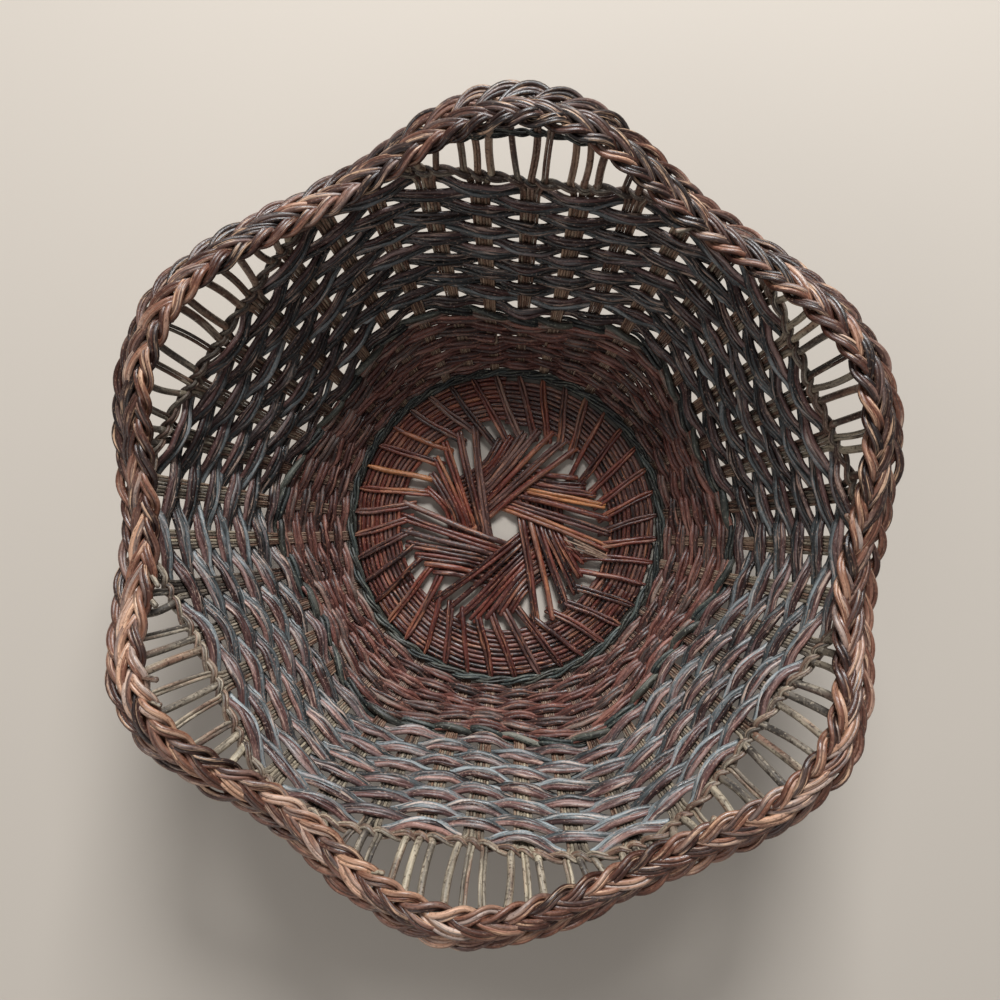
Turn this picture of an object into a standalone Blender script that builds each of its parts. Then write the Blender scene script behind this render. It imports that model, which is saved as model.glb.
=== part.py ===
"""A flared foraging basket plaited from brown willow rods, with a six-lobed openwork rim.

Six bundles of rods cross in a pinwheel round a small hole and fan out over a coiled weaver to
make the base. Forty side stakes turn up at the foot ring. They carry a fine weave as far as the
waist, a coarse one-over-one-under weave up the wall, and then split in three to hold up a
three-strand plaited border.

Metres, +Z up, origin on the table under the middle of the whole basket. A turn is an angle
measured clockwise from +Y, seen from above, round the middle of the foot ring. The driving
sizes come first.
"""
import math

import bmesh
import bpy
from mathutils import Matrix, Vector

full_turn = 2.0 * math.pi

# Counts
stake_count = 40
bundle_rod_counts = (7, 7, 6, 7, 7, 6)
fine_row_count = 8
wall_row_count = 12
wall_weaver_count = 3
base_weaver_turns = 10
plait_repeat_count = 32

# Gaps between rods that touch
fit_gap = 0.0003
weave_gap = 0.0004
prong_gap = 0.0010

# Base
hole_radius = 0.0056
bundle_rod_pitch = 0.0042
kink_radius = 0.0490
base_radius = 0.0740
base_rod_width = 0.0034
base_rod_depth = 0.0022
tip_width = 0.0026
tip_depth = 0.0014
tuck_run = 0.0052
drop_run = 0.0020
slab_run = 0.0025
tuck_gap = 0.0005
base_weaver_width = 0.0018
base_weaver_depth = 0.0020
base_weaver_margin = 0.0030

# Foot ring and the twine above it
foot_width = 0.0034
foot_height = 0.0033
foot_margin = 0.0010
base_twine_width = 0.0028
base_twine_depth = 0.0026

# Body: a bowl that goes from round at the foot to six soft corners
waist_radius = 0.1055
waist_height = 0.0240
waist_rise = 0.0020
wall_top_lean = 0.0040
wall_top_radius = 0.1425
wall_top_height = 0.0960
wall_top_rise = 0.0020
waist_corner_share = 0.042
wall_top_corner_share = 0.034
wall_bulge_share = 0.25
wall_drop_share = 0.15
wall_step_count = 4

# Side stakes
stake_depth = 0.0014
stake_foot_width = 0.0036
stake_waist_width = 0.0062
stake_top_width = 0.0080
prong_width = 0.0026
prong_spread = 0.0052

# Weave
fine_weaver_depth = 0.0016
wale_depth = 0.0024
wall_weaver_depth = 0.0020
top_twine_depth = 0.0018
top_twine_height = 0.0020
border_twine_depth = 0.0020
border_twine_height = 0.0020

# Border: it swings out and up in the middle of each lobe. The lobes are as uneven as the maker
# left them: radii at the corners, and in the lobe that follows each corner
rim_corner_radii = (0.1450, 0.1430, 0.1500, 0.1460, 0.1450, 0.1480)
rim_lobe_radii = (0.1535, 0.1565, 0.1570, 0.1580, 0.1560, 0.1600)
rim_corner_height = 0.1075
rim_lobe_height = 0.1220
plait_half_width = 0.0048
plait_lift = 0.0027
strand_width = 0.0038
strand_depth = 0.0019

# Turns, all clockwise from +Y
first_stake_turn = math.radians(5.0)
border_tilt = math.radians(15.0)
first_bundle_turn = math.radians(-38.3)
lead_kink_turn = math.radians(9.6)
kink_fan = math.radians(49.2)
wall_corner_turns = tuple(math.radians(turn) for turn in (37.0, 97.0, 158.0, 217.0, 271.0, 338.0))
rim_corner_turns = tuple(math.radians(turn) for turn in (37.0, 101.0, 156.0, 216.0, 267.0, 332.0))

# Where the rows lie on the body: 0 at the turn-up, 1 at the waist, 2 at the top of the wall
# and 3 under the border
fine_row_shares = (0.15, 0.92)
wale_row_shares = (1.015, 1.055)
wall_row_shares = (1.125, 1.885)
fork_share = 1.935
top_twine_share = 1.975
border_twine_shares = (2.50, 2.70)
row_fill_share = 0.92
slant_share = 1.12
turn_nudge_share = 0.01
climb_nudge_share = 0.01

# Worked out from the sizes above
stake_pitch_turn = full_turn / stake_count
bundle_pitch_turn = full_turn / len(bundle_rod_counts)
stake_level = foot_height + fit_gap + stake_depth / 2
stake_start_radius = base_radius + fit_gap
foot_radius = stake_start_radius + foot_margin + foot_width / 2
turn_up_radius = foot_radius + foot_width / 2 + foot_margin


# Small tools

def heading(turn):
    """Level unit vector that points along a turn."""
    return Vector((math.sin(turn), math.cos(turn), 0.0))


def place(turn, radius, height):
    return heading(turn) * radius + Vector((0.0, 0.0, height))


def blend(start, end, share):
    return start + (end - start) * share


def finish(name, colour, roughness):
    """One plain willow finish for one piece."""
    material = bpy.data.materials.new(name + "_finish")
    material.use_nodes = True
    shader = material.node_tree.nodes["Principled BSDF"]
    shader.inputs["Base Color"].default_value = (*colour, 1.0)
    shader.inputs["Roughness"].default_value = roughness
    shader.inputs["Metallic"].default_value = 0.0
    return material


def new_ring(bm, points):
    return [bm.verts.new(point) for point in points]


def join_rings(bm, ring, following):
    for index in range(len(ring)):
        after = (index + 1) % len(ring)
        bm.faces.new((ring[index], ring[after], following[after], following[index]))


def add_piece(name, bm, colour, roughness=0.6):
    """Turns a finished bmesh into a named object with its own finish."""
    bmesh.ops.recalc_face_normals(bm, faces=bm.faces)
    mesh = bpy.data.meshes.new(name)
    bm.to_mesh(mesh)
    bm.free()
    mesh.materials.append(finish(name, colour, roughness))
    piece = bpy.data.objects.new(name, mesh)
    bpy.context.scene.collection.objects.link(piece)
    return piece


def add_rod(name, sections, closed, colour):
    """A rod or a band swept through a list of sections, closed into a ring or capped."""
    bm = bmesh.new()
    rings = [new_ring(bm, section) for section in sections]
    for ring, following in zip(rings, rings[1:]):
        join_rings(bm, ring, following)
    if closed:
        join_rings(bm, rings[-1], rings[0])
    else:
        bm.faces.new(rings[0])
        bm.faces.new(rings[-1])
    return add_piece(name, bm, colour)


# The body's shape

def lobe_place(turn, corners):
    """The lobe that a turn lies in, and how far through it, from 0 to 1."""
    ahead = (turn - corners[0]) % full_turn
    ends = [corner - corners[0] for corner in corners[1:]] + [full_turn]
    start = 0.0
    for lobe, end in enumerate(ends):
        if ahead < end:
            return lobe, (ahead - start) / (end - start)
        start = end
    return 0, 0.0


def wall_wave(turn):
    """1 in the middle of a flat side of the body and -1 at a corner."""
    lobe, share = lobe_place(turn, wall_corner_turns)
    return -math.cos(full_turn * share)


def waist_point(turn):
    wave = wall_wave(turn)
    return waist_radius * (1.0 - waist_corner_share * wave), waist_height - waist_rise * wave


def wall_top_point(turn):
    """The last row's ring, which leans a little towards +Y."""
    wave = wall_wave(turn)
    radius = wall_top_radius * (1.0 - wall_top_corner_share * wave)
    return radius + wall_top_lean * math.cos(turn), wall_top_height - wall_top_rise * wave


def rim_wave(turn):
    """0 at a corner of the rim and 1 in the middle of a lobe."""
    lobe, share = lobe_place(turn, rim_corner_turns)
    return (1.0 - math.cos(full_turn * share)) / 2


def border_point(turn):
    """The middle of the plait, which runs from corner to lobe to corner."""
    lobe, share = lobe_place(turn, rim_corner_turns)
    corner = lobe if share < 0.5 else (lobe + 1) % len(rim_corner_turns)
    radius = blend(rim_corner_radii[corner], rim_lobe_radii[lobe], rim_wave(turn))
    return radius, blend(rim_corner_height, rim_lobe_height, rim_wave(turn))


def border_foot_point(turn):
    """Just under the plait, where the openwork ends."""
    radius, height = border_point(turn)
    depth = plait_lift + strand_depth / 2 + fit_gap
    return radius - depth * math.sin(border_tilt), height - depth * math.cos(border_tilt)


def bowl_point(turn, share):
    """The wall's curve, which flares more low down than at the top."""
    low_radius, low_height = waist_point(turn)
    top_radius, top_height = wall_top_point(turn)
    bow = share * (1.0 - share)
    radius = blend(low_radius, top_radius, share + wall_bulge_share * bow)
    height = blend(low_height, top_height, share - wall_drop_share * bow)
    return radius, height


def shell_point(turn, climb):
    """A point on the middle of the body, for a climb from 0 to 3."""
    if climb < 1.0:
        start = (turn_up_radius, stake_level)
        end = waist_point(turn)
        share = climb
    elif climb < 2.0:
        step = min(int((climb - 1.0) * wall_step_count), wall_step_count - 1)
        start = bowl_point(turn, step / wall_step_count)
        end = bowl_point(turn, (step + 1) / wall_step_count)
        share = (climb - 1.0) * wall_step_count - step
    else:
        start = wall_top_point(turn)
        end = border_foot_point(turn)
        share = climb - 2.0
    return place(turn, blend(start[0], end[0], share), blend(start[1], end[1], share))


def shell_frame(turn, climb):
    """Place, direction along the rows, and direction out of the basket."""
    middle = shell_point(turn, climb)
    along = shell_point(turn + turn_nudge_share, climb) - shell_point(turn - turn_nudge_share, climb)
    up = shell_point(turn, climb + climb_nudge_share) - shell_point(turn, climb - climb_nudge_share)
    along.normalize()
    out = up.cross(along).normalized()
    return middle, along, out


def stake_turn(stake):
    return first_stake_turn + stake * stake_pitch_turn


def stake_half_width(climb):
    """Half the width of a side stake, which widens at the waist and again up the wall."""
    if climb < 1.0:
        return blend(stake_foot_width, stake_waist_width, climb) / 2
    return blend(stake_waist_width, stake_top_width, min(climb - 1.0, 1.0)) / 2


# Side stakes

def stake_section(turn, climb, half_width):
    """A flat lens: left edge, outer ridge, right edge, inner ridge."""
    middle, along, out = shell_frame(turn, climb)
    half_depth = stake_depth / 2
    return (middle - along * half_width, middle + out * half_depth,
            middle + along * half_width, middle - out * half_depth)


def foot_section(turn, radius):
    """The same lens laid flat over the foot ring."""
    middle = place(turn, radius, stake_level)
    along = heading(turn + full_turn / 4)
    half_width = stake_foot_width / 2
    half_depth = Vector((0.0, 0.0, stake_depth / 2))
    return (middle - along * half_width, middle - half_depth,
            middle + along * half_width, middle + half_depth)


def fork_section(turn):
    """The lens with a flat third in the middle, from which the three prongs grow."""
    middle, along, out = shell_frame(turn, fork_share)
    half_width = stake_half_width(fork_share)
    third = along * (half_width / 3)
    half_depth = out * (stake_depth / 2)
    return (middle - along * half_width, middle - third + half_depth, middle + third + half_depth,
            middle + along * half_width, middle + third - half_depth, middle - third - half_depth)


def prong_section(turn, climb, side):
    """A prong's section: a wedge on the two outer prongs and a flat bar on the middle one."""
    middle, along, out = shell_frame(turn, climb)
    half_width = along * (prong_width / 2)
    half_depth = out * (stake_depth / 2)
    if side < 0:
        return (middle - half_width, middle + half_width + half_depth,
                middle + half_width - half_depth)
    if side > 0:
        return (middle + half_width, middle - half_width - half_depth,
                middle - half_width + half_depth)
    return (middle - half_width + half_depth, middle + half_width + half_depth,
            middle + half_width - half_depth, middle - half_width - half_depth)


def add_stake(stake):
    turn = stake_turn(stake)
    bm = bmesh.new()
    sections = [foot_section(turn, stake_start_radius), foot_section(turn, turn_up_radius)]
    climbs = [0.5, 1.0] + [1.0 + (step + 1) / wall_step_count for step in range(wall_step_count - 1)]
    sections += [stake_section(turn, climb, stake_half_width(climb)) for climb in climbs]
    rings = [new_ring(bm, section) for section in sections]
    bm.faces.new(rings[0])
    for ring, following in zip(rings, rings[1:]):
        join_rings(bm, ring, following)
    left, outer, right, inner = rings[-1]
    fork = new_ring(bm, fork_section(turn))
    fork_left, outer_left, outer_right, fork_right, inner_right, inner_left = fork
    bm.faces.new((left, outer, outer_left, fork_left))
    bm.faces.new((outer, outer_right, outer_left))
    bm.faces.new((outer, right, fork_right, outer_right))
    bm.faces.new((right, inner, inner_right, fork_right))
    bm.faces.new((inner, inner_left, inner_right))
    bm.faces.new((inner, left, fork_left, inner_left))
    roots = {
        -1: (fork_left, outer_left, inner_left),
        0: (outer_left, outer_right, inner_right, inner_left),
        1: (fork_right, inner_right, outer_right),
    }
    low_turn = prong_spread / wall_top_radius
    high_turn = stake_pitch_turn / 3
    for side, root in roots.items():
        low = new_ring(bm, prong_section(turn + side * low_turn, 2.0, side))
        high = new_ring(bm, prong_section(turn + side * high_turn, 3.0, side))
        join_rings(bm, root, low)
        join_rings(bm, low, high)
        bm.faces.new(high)
    add_piece("side_stake_%02d" % (stake + 1), bm, (0.125, 0.098, 0.070))


# Woven rows

def row_climbs(shares, count):
    return [blend(shares[0], shares[1], row / (count - 1)) for row in range(count)]


def row_swing(climb, depth):
    """How far a row runs to each side of the stakes, so that it just clears their edges."""
    swing = (stake_depth + depth) / 2 + weave_gap
    half_width = stake_half_width(climb)
    for stake in range(stake_count):
        middle, along, out = shell_frame(stake_turn(stake), climb)
        for neighbour in (stake - 1, stake + 1):
            step = shell_point(stake_turn(neighbour), climb) - middle
            reach = abs(step.dot(along))
            fall = abs(step.dot(out))
            room = 1.0 - 2.0 * half_width / reach
            need = slant_share * depth / 2 + weave_gap + fall * half_width / reach
            swing = max(swing, need / room)
    return swing


def band_section(turn, climb, offset, half_climb, depth):
    """Four corners of a weaver: base side and rim side, each inner and outer."""
    corners = []
    for edge, face in ((-1, -1), (-1, 1), (1, 1), (1, -1)):
        middle, along, out = shell_frame(turn, climb + edge * half_climb)
        corners.append(middle + out * (offset + face * depth / 2))
    return corners


def add_weave(name, climbs, first_row, half_climb, depth, colour):
    """One long weaver, in front of one stake and behind the next, that steps up once a round.

    With an even number of stakes it passes two stakes on the same side at each step, so that
    every row alternates with the row below it.
    """
    sections = []
    for row, climb in enumerate(climbs, first_row):
        swing = row_swing(climb, depth)
        for stake in range(stake_count):
            side = 1 if (row + stake) % 2 else -1
            sections.append(band_section(stake_turn(stake), climb, side * swing, half_climb, depth))
    add_rod(name, sections, False, colour)


def add_rows():
    step = (fine_row_shares[1] - fine_row_shares[0]) / (fine_row_count - 1)
    climbs = row_climbs(fine_row_shares, fine_row_count)
    add_weave("fine_weaver", climbs, 0, row_fill_share * step / 2, fine_weaver_depth,
              (0.115, 0.045, 0.032))
    step = wale_row_shares[1] - wale_row_shares[0]
    add_weave("waist_wale", wale_row_shares, 1, row_fill_share * step / 2, wale_depth,
              (0.030, 0.045, 0.038))
    step = (wall_row_shares[1] - wall_row_shares[0]) / (wall_row_count - 1)
    climbs = row_climbs(wall_row_shares, wall_row_count)
    rows_each = wall_row_count // wall_weaver_count
    for weaver in range(wall_weaver_count):
        first = weaver * rows_each
        last = wall_row_count if weaver == wall_weaver_count - 1 else first + rows_each
        add_weave("wall_weaver_%d" % (weaver + 1), climbs[first:last], first,
                  row_fill_share * step / 2, wall_weaver_depth, (0.080, 0.062, 0.060))


def openwork_section(turn, climb, offset, height, depth):
    """A small four-cornered section beside the prongs."""
    middle, along, out = shell_frame(turn, climb)
    up = along.cross(out)
    corners = []
    for edge, face in ((-1, -1), (-1, 1), (1, 1), (1, -1)):
        corners.append(middle + up * (edge * height / 2) + out * (offset + face * depth / 2))
    return corners


def add_top_twine():
    """One rod that goes round outside the prongs and then once more inside them."""
    offset = (stake_depth + top_twine_depth) / 2 + prong_gap
    crossing_turn = (prong_spread + prong_width) / wall_top_radius
    stops = [(stake_turn(stake), 1) for stake in range(stake_count)]
    stops.append((stake_turn(stake_count - 1) + crossing_turn, 1))
    stops.append((stake_turn(stake_count) - crossing_turn, -1))
    stops += [(stake_turn(stake), -1) for stake in range(stake_count)]
    sections = [openwork_section(turn, top_twine_share, side * offset, top_twine_height,
                                 top_twine_depth) for turn, side in stops]
    add_rod("top_twine", sections, False, (0.110, 0.080, 0.052))


def add_border_twine():
    """A dark ring inside the prongs, close under the plait."""
    offset = (stake_depth + border_twine_depth) / 2 + prong_gap
    sections = []
    for stake in range(stake_count):
        turn = stake_turn(stake)
        climb = blend(*border_twine_shares, rim_wave(turn))
        sections.append(openwork_section(turn, climb, -offset, border_twine_height,
                                         border_twine_depth))
    add_rod("border_twine", sections, True, (0.030, 0.042, 0.040))


# Plaited border

def border_frame(turn):
    """Middle of the plait, its run, its outward direction and its upper face."""
    middle = place(turn, *border_point(turn))
    along = (place(turn + turn_nudge_share, *border_point(turn + turn_nudge_share))
             - place(turn - turn_nudge_share, *border_point(turn - turn_nudge_share))).normalized()
    level = Vector((0.0, 0.0, 1.0)).cross(along).normalized()
    upright = along.cross(level)
    out = level * math.cos(border_tilt) - upright * math.sin(border_tilt)
    face = upright * math.cos(border_tilt) + level * math.sin(border_tilt)
    return middle, along, out, face


def add_strand(strand, strand_count):
    """Each strand crosses over from one edge to the other and dives under on its way."""
    moves = ((1, -1), (1, 1), (-1, -1), (-1, 1))
    station_count = plait_repeat_count * len(moves)
    repeat_turn = full_turn / plait_repeat_count
    points = []
    faces = []
    for station in range(station_count):
        turn = (station / len(moves) + strand / strand_count) * repeat_turn
        side, level = moves[station % len(moves)]
        middle, along, out, face = border_frame(turn)
        points.append(middle + out * (side * plait_half_width) + face * (level * plait_lift))
        faces.append(face)
    sections = []
    for station, point in enumerate(points):
        run = points[(station + 1) % station_count] - points[station - 1]
        across = faces[station].cross(run).normalized() * (strand_width / 2)
        thick = faces[station] * (strand_depth / 2)
        sections.append((point - across - thick, point + across - thick,
                         point + across + thick, point - across + thick))
    add_rod("border_strand_%d" % (strand + 1), sections, True, (0.175, 0.070, 0.042))


# Base

def flat_section(middle, across, half_width, low, high):
    """Four corners of a flat rod: far top, near top, near bottom, far bottom."""
    near = middle - across * half_width
    far = middle + across * half_width
    return (near + Vector((0.0, 0.0, high)), far + Vector((0.0, 0.0, high)),
            far + Vector((0.0, 0.0, low)), near + Vector((0.0, 0.0, low)))


def add_bundle(bundle):
    """A comb of rods: tucked tips, a closed slab beside the hole, then legs that fan out."""
    upright = Vector((0.0, 0.0, 1.0))
    rod_count = bundle_rod_counts[bundle]
    first_stake = sum(bundle_rod_counts[:bundle]) - bundle_rod_counts[0] // 2
    offset_way = heading(first_bundle_turn + bundle * bundle_pitch_turn)
    rod_way = heading(first_bundle_turn + bundle * bundle_pitch_turn + full_turn / 4)
    low = stake_level - base_rod_depth / 2
    high = stake_level + base_rod_depth / 2
    tip_high = low - fit_gap
    tip_low = tip_high - tip_depth

    def edge_run(aside):
        """Where a line of this bundle meets the next bundle's lead rod."""
        across = aside * math.cos(bundle_pitch_turn) - hole_radius
        return across / math.sin(bundle_pitch_turn) + tuck_gap

    def spot(run, aside):
        return rod_way * run + offset_way * aside

    bm = bmesh.new()
    slab_in = []
    slab_out = []
    for edge in range(rod_count + 1):
        aside = hole_radius + edge * bundle_rod_pitch
        run = edge_run(aside) + drop_run
        for column, start in ((slab_in, run), (slab_out, run + slab_run)):
            middle = spot(start, aside)
            column.append(new_ring(bm, (middle + upright * high, middle + upright * low)))
    bm.faces.new((*slab_in[0], slab_out[0][1], slab_out[0][0]))
    bm.faces.new((*slab_in[-1], slab_out[-1][1], slab_out[-1][0]))
    for rod in range(rod_count):
        aside = hole_radius + (rod + 0.5) * bundle_rod_pitch
        for level in (0, 1):
            bm.faces.new((slab_in[rod][level], slab_in[rod + 1][level],
                          slab_out[rod + 1][level], slab_out[rod][level]))
        # the tip, tucked under the next bundle
        ring = (slab_in[rod][0], slab_in[rod + 1][0], slab_in[rod + 1][1], slab_in[rod][1])
        for back in (0.0, tuck_run):
            middle = spot(edge_run(aside) - back, aside)
            section = flat_section(middle, offset_way, tip_width / 2, tip_low, tip_high)
            following = new_ring(bm, section)
            join_rings(bm, ring, following)
            ring = following
        bm.faces.new(ring)
        # the leg, out to the kink and on to the edge of the base
        stake = first_stake + rod_count - 1 - rod
        kink_turn = (first_bundle_turn + bundle * bundle_pitch_turn + full_turn / 4
                     - lead_kink_turn - kink_fan * rod / (rod_count - 1))
        start = spot(edge_run(aside) + drop_run + slab_run, aside)
        kink = heading(kink_turn) * kink_radius
        end = heading(stake_turn(stake)) * base_radius
        before = (kink - start).normalized()
        after = (end - kink).normalized()
        bend = (before + after).normalized()
        half_width = base_rod_width / 2 / bend.dot(after)
        ring = (slab_out[rod][0], slab_out[rod + 1][0], slab_out[rod + 1][1], slab_out[rod][1])
        kink_ring = new_ring(bm, flat_section(kink, upright.cross(bend), half_width, low, high))
        end_way = upright.cross(heading(stake_turn(stake)))
        end_ring = new_ring(bm, flat_section(end, end_way, base_rod_width / 2, low, high))
        join_rings(bm, ring, kink_ring)
        join_rings(bm, kink_ring, end_ring)
        bm.faces.new(end_ring)
    add_piece("base_bundle_" + "abcdef"[bundle], bm, (0.150, 0.050, 0.032))


def add_base_weaver():
    """One rod that coils under the legs of the bundles."""
    steps_per_turn = 24
    high = stake_level - base_rod_depth / 2 - fit_gap
    low = high - base_weaver_depth
    inner = kink_radius + base_weaver_margin
    outer = base_radius - base_weaver_width / 2
    station_count = base_weaver_turns * steps_per_turn
    sections = []
    for station in range(station_count + 1):
        turn = full_turn * station / steps_per_turn
        middle = heading(turn) * blend(inner, outer, station / station_count)
        sections.append(flat_section(middle, heading(turn), base_weaver_width / 2, low, high))
    add_rod("base_weaver", sections, False, (0.135, 0.048, 0.032))


def add_flat_ring(name, radius, width, low, high, colour):
    sections = [flat_section(heading(stake_turn(stake)) * radius, heading(stake_turn(stake)),
                             width / 2, low, high) for stake in range(stake_count)]
    add_rod(name, sections, True, colour)


def centre_on_origin():
    """Moves everything level, so that the middle of the whole basket stands on the origin."""
    meshes = [piece.data for piece in bpy.data.objects]
    spots = [vertex.co for mesh in meshes for vertex in mesh.vertices]
    middle = [(min(spot[axis] for spot in spots) + max(spot[axis] for spot in spots)) / 2
              for axis in (0, 1)]
    for mesh in meshes:
        mesh.transform(Matrix.Translation((-middle[0], -middle[1], 0.0)))


def build():
    for old in list(bpy.data.objects):
        bpy.data.objects.remove(old, do_unlink=True)
    add_flat_ring("foot_ring", foot_radius, foot_width, 0.0, foot_height, (0.040, 0.040, 0.034))
    twine_low = stake_level + stake_depth / 2 + fit_gap
    add_flat_ring("base_twine", foot_radius, base_twine_width, twine_low,
                  twine_low + base_twine_depth, (0.032, 0.038, 0.030))
    add_base_weaver()
    for bundle in range(len(bundle_rod_counts)):
        add_bundle(bundle)
    for stake in range(stake_count):
        add_stake(stake)
    add_rows()
    add_top_twine()
    add_border_twine()
    strand_count = 3
    for strand in range(strand_count):
        add_strand(strand, strand_count)
    centre_on_origin()


build()
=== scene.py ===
# %% [markdown]
# # A foraging basket plaited from brown willow
#
# This lesson dresses a packed basket in its real rods. The imported model holds one plain solid for
# each part of the weave: bands for the rows, flat lenses for the side stakes, three strands for
# the border. Here every one of them becomes a group of single willow rods that pass over and
# under each other, at the same place and the same size.
#
# The frame comes first. The dressed basket must not outgrow it.

# %% Load the frame
import math

import bpy
import numpy as np
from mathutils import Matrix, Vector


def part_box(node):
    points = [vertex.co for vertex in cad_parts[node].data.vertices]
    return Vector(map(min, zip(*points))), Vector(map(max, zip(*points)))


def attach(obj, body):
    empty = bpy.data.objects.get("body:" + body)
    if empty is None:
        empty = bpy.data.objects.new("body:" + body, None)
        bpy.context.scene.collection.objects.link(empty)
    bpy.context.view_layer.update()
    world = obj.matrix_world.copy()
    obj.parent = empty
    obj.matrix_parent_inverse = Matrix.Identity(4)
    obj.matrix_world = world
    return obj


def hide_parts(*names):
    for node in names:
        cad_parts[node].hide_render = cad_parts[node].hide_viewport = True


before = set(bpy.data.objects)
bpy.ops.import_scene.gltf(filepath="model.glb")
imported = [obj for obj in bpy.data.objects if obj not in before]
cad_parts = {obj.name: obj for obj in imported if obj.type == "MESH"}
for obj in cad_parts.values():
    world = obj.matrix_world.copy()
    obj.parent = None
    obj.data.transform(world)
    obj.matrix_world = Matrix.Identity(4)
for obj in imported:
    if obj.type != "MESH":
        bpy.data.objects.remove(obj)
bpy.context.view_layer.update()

print("nodes in the frame:", len(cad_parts))

# %% [markdown]
# ## The body's shape
#
# Every rod of a basket lies on one surface, the body that the maker pulls it to. So the body is
# written down once, as a function of two numbers. The turn is the angle clockwise from +Y, seen
# from above, round the middle of the foot ring. The climb is 0 where the stakes turn up, 1 at the
# waist, 2 at the top of the wall and 3 under the border.
#
# The sizes are the same as those of the solids. The body is round at the foot and goes over to
# six soft corners, and the rim swings out and up between them.

# %% Sizes of the body
full_turn = 2.0 * math.pi
stake_count = 40
stake_pitch = full_turn / stake_count
first_stake_turn = math.radians(5.0)

foot_low, foot_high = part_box("foot_ring")
basket_middle = np.array([(foot_low.x + foot_high.x) / 2, (foot_low.y + foot_high.y) / 2, 0.0])

stake_level = 0.0043
foot_radius = 0.0770
turn_up_radius = 0.0797
waist_radius, waist_height, waist_rise = 0.1055, 0.0240, 0.0020
wall_top_radius, wall_top_height, wall_top_rise = 0.1425, 0.0960, 0.0020
wall_top_lean = 0.0040
waist_corner_share, wall_top_corner_share = 0.042, 0.034
wall_bulge_share, wall_drop_share = 0.25, 0.15
wall_corner_turns = np.radians([37.0, 97.0, 158.0, 217.0, 271.0, 338.0])
rim_corner_turns = np.radians([37.0, 101.0, 156.0, 216.0, 267.0, 332.0])
rim_corner_radii = np.array([0.1450, 0.1430, 0.1500, 0.1460, 0.1450, 0.1480])
rim_lobe_radii = np.array([0.1535, 0.1565, 0.1570, 0.1580, 0.1560, 0.1600])
rim_corner_height, rim_lobe_height = 0.1075, 0.1220
border_tilt = math.radians(15.0)
border_depth = 0.0040
print("middle of the foot ring in mm:", (basket_middle * 1000).round(2))


# %% Place on the body
def blend(start, end, share):
    return start + (end - start) * share


def smooth(share):
    """0 to 1 with a soft start and end."""
    share = np.clip(share, 0.0, 1.0)
    return share * share * (3.0 - 2.0 * share)


def unit(vectors):
    return vectors / np.linalg.norm(vectors, axis=-1, keepdims=True)


def heading(turn):
    turn = np.asarray(turn, float)
    return np.stack([np.sin(turn), np.cos(turn), np.zeros_like(turn)], axis=-1)


def place(turn, radius, height):
    spot = heading(turn) * np.asarray(radius)[..., None]
    spot[..., 2] = height
    return spot + basket_middle


def lobe_place(turn, corners):
    """The lobe that a turn lies in, and how far through it."""
    ends = np.append(corners, corners[0] + full_turn)
    ahead = (turn - corners[0]) % full_turn + corners[0]
    lobe = np.clip(np.searchsorted(ends, ahead, side="right") - 1, 0, len(corners) - 1)
    return lobe, (ahead - ends[lobe]) / (ends[lobe + 1] - ends[lobe])


def wall_wave(turn):
    """1 in the middle of a flat side and -1 at a corner."""
    return -np.cos(full_turn * lobe_place(turn, wall_corner_turns)[1])


def border_point(turn):
    """Radius and height of the border, and its wave: 0 at a corner and 1 in a lobe."""
    lobe, share = lobe_place(turn, rim_corner_turns)
    corner = np.where(share < 0.5, lobe, (lobe + 1) % len(rim_corner_turns))
    wave = (1.0 - np.cos(full_turn * share)) / 2
    radius = blend(rim_corner_radii[corner], rim_lobe_radii[lobe], wave)
    return radius, blend(rim_corner_height, rim_lobe_height, wave), wave


def shell_point(turn, climb):
    """A point on the middle of the body, for arrays of turns and climbs."""
    turn, climb = np.broadcast_arrays(np.asarray(turn, float), np.asarray(climb, float))
    wave = wall_wave(turn)
    low_radius = waist_radius * (1.0 - waist_corner_share * wave)
    low_height = waist_height - waist_rise * wave
    top_radius = (wall_top_radius * (1.0 - wall_top_corner_share * wave)
                  + wall_top_lean * np.cos(turn))
    top_height = wall_top_height - wall_top_rise * wave
    rim_radius, rim_height, rim_wave = border_point(turn)
    rim_radius = rim_radius - border_depth * math.sin(border_tilt)
    rim_height = rim_height - border_depth * math.cos(border_tilt)
    first = np.minimum(climb, 1.0)
    second = np.clip(climb - 1.0, 0.0, 1.0)
    third = np.maximum(climb - 2.0, 0.0)
    bow = second * (1.0 - second)
    radius = (blend(turn_up_radius, low_radius, first)
              + (top_radius - low_radius) * (second + wall_bulge_share * bow)
              + (rim_radius - top_radius) * third)
    height = (blend(stake_level, low_height, first)
              + (top_height - low_height) * (second - wall_drop_share * bow)
              + (rim_height - top_height) * third)
    return place(turn, radius, height)


# a direction is measured between two points this far apart, in turn or in climb
nudge = 0.01


def shell_frame(turn, climb):
    """Place, direction along the rows, direction up the wall, direction out of the basket."""
    along = unit(shell_point(turn + nudge, climb) - shell_point(turn - nudge, climb))
    rise = unit(shell_point(turn, climb + nudge) - shell_point(turn, climb - nudge))
    out = unit(np.cross(rise, along))
    return shell_point(turn, climb), along, np.cross(along, out), out


print("waist and wall top, radius in mm:",
      [(shell_point(0.0, climb)[1] * 1000).round(1) for climb in (1.0, 2.0)])


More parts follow.
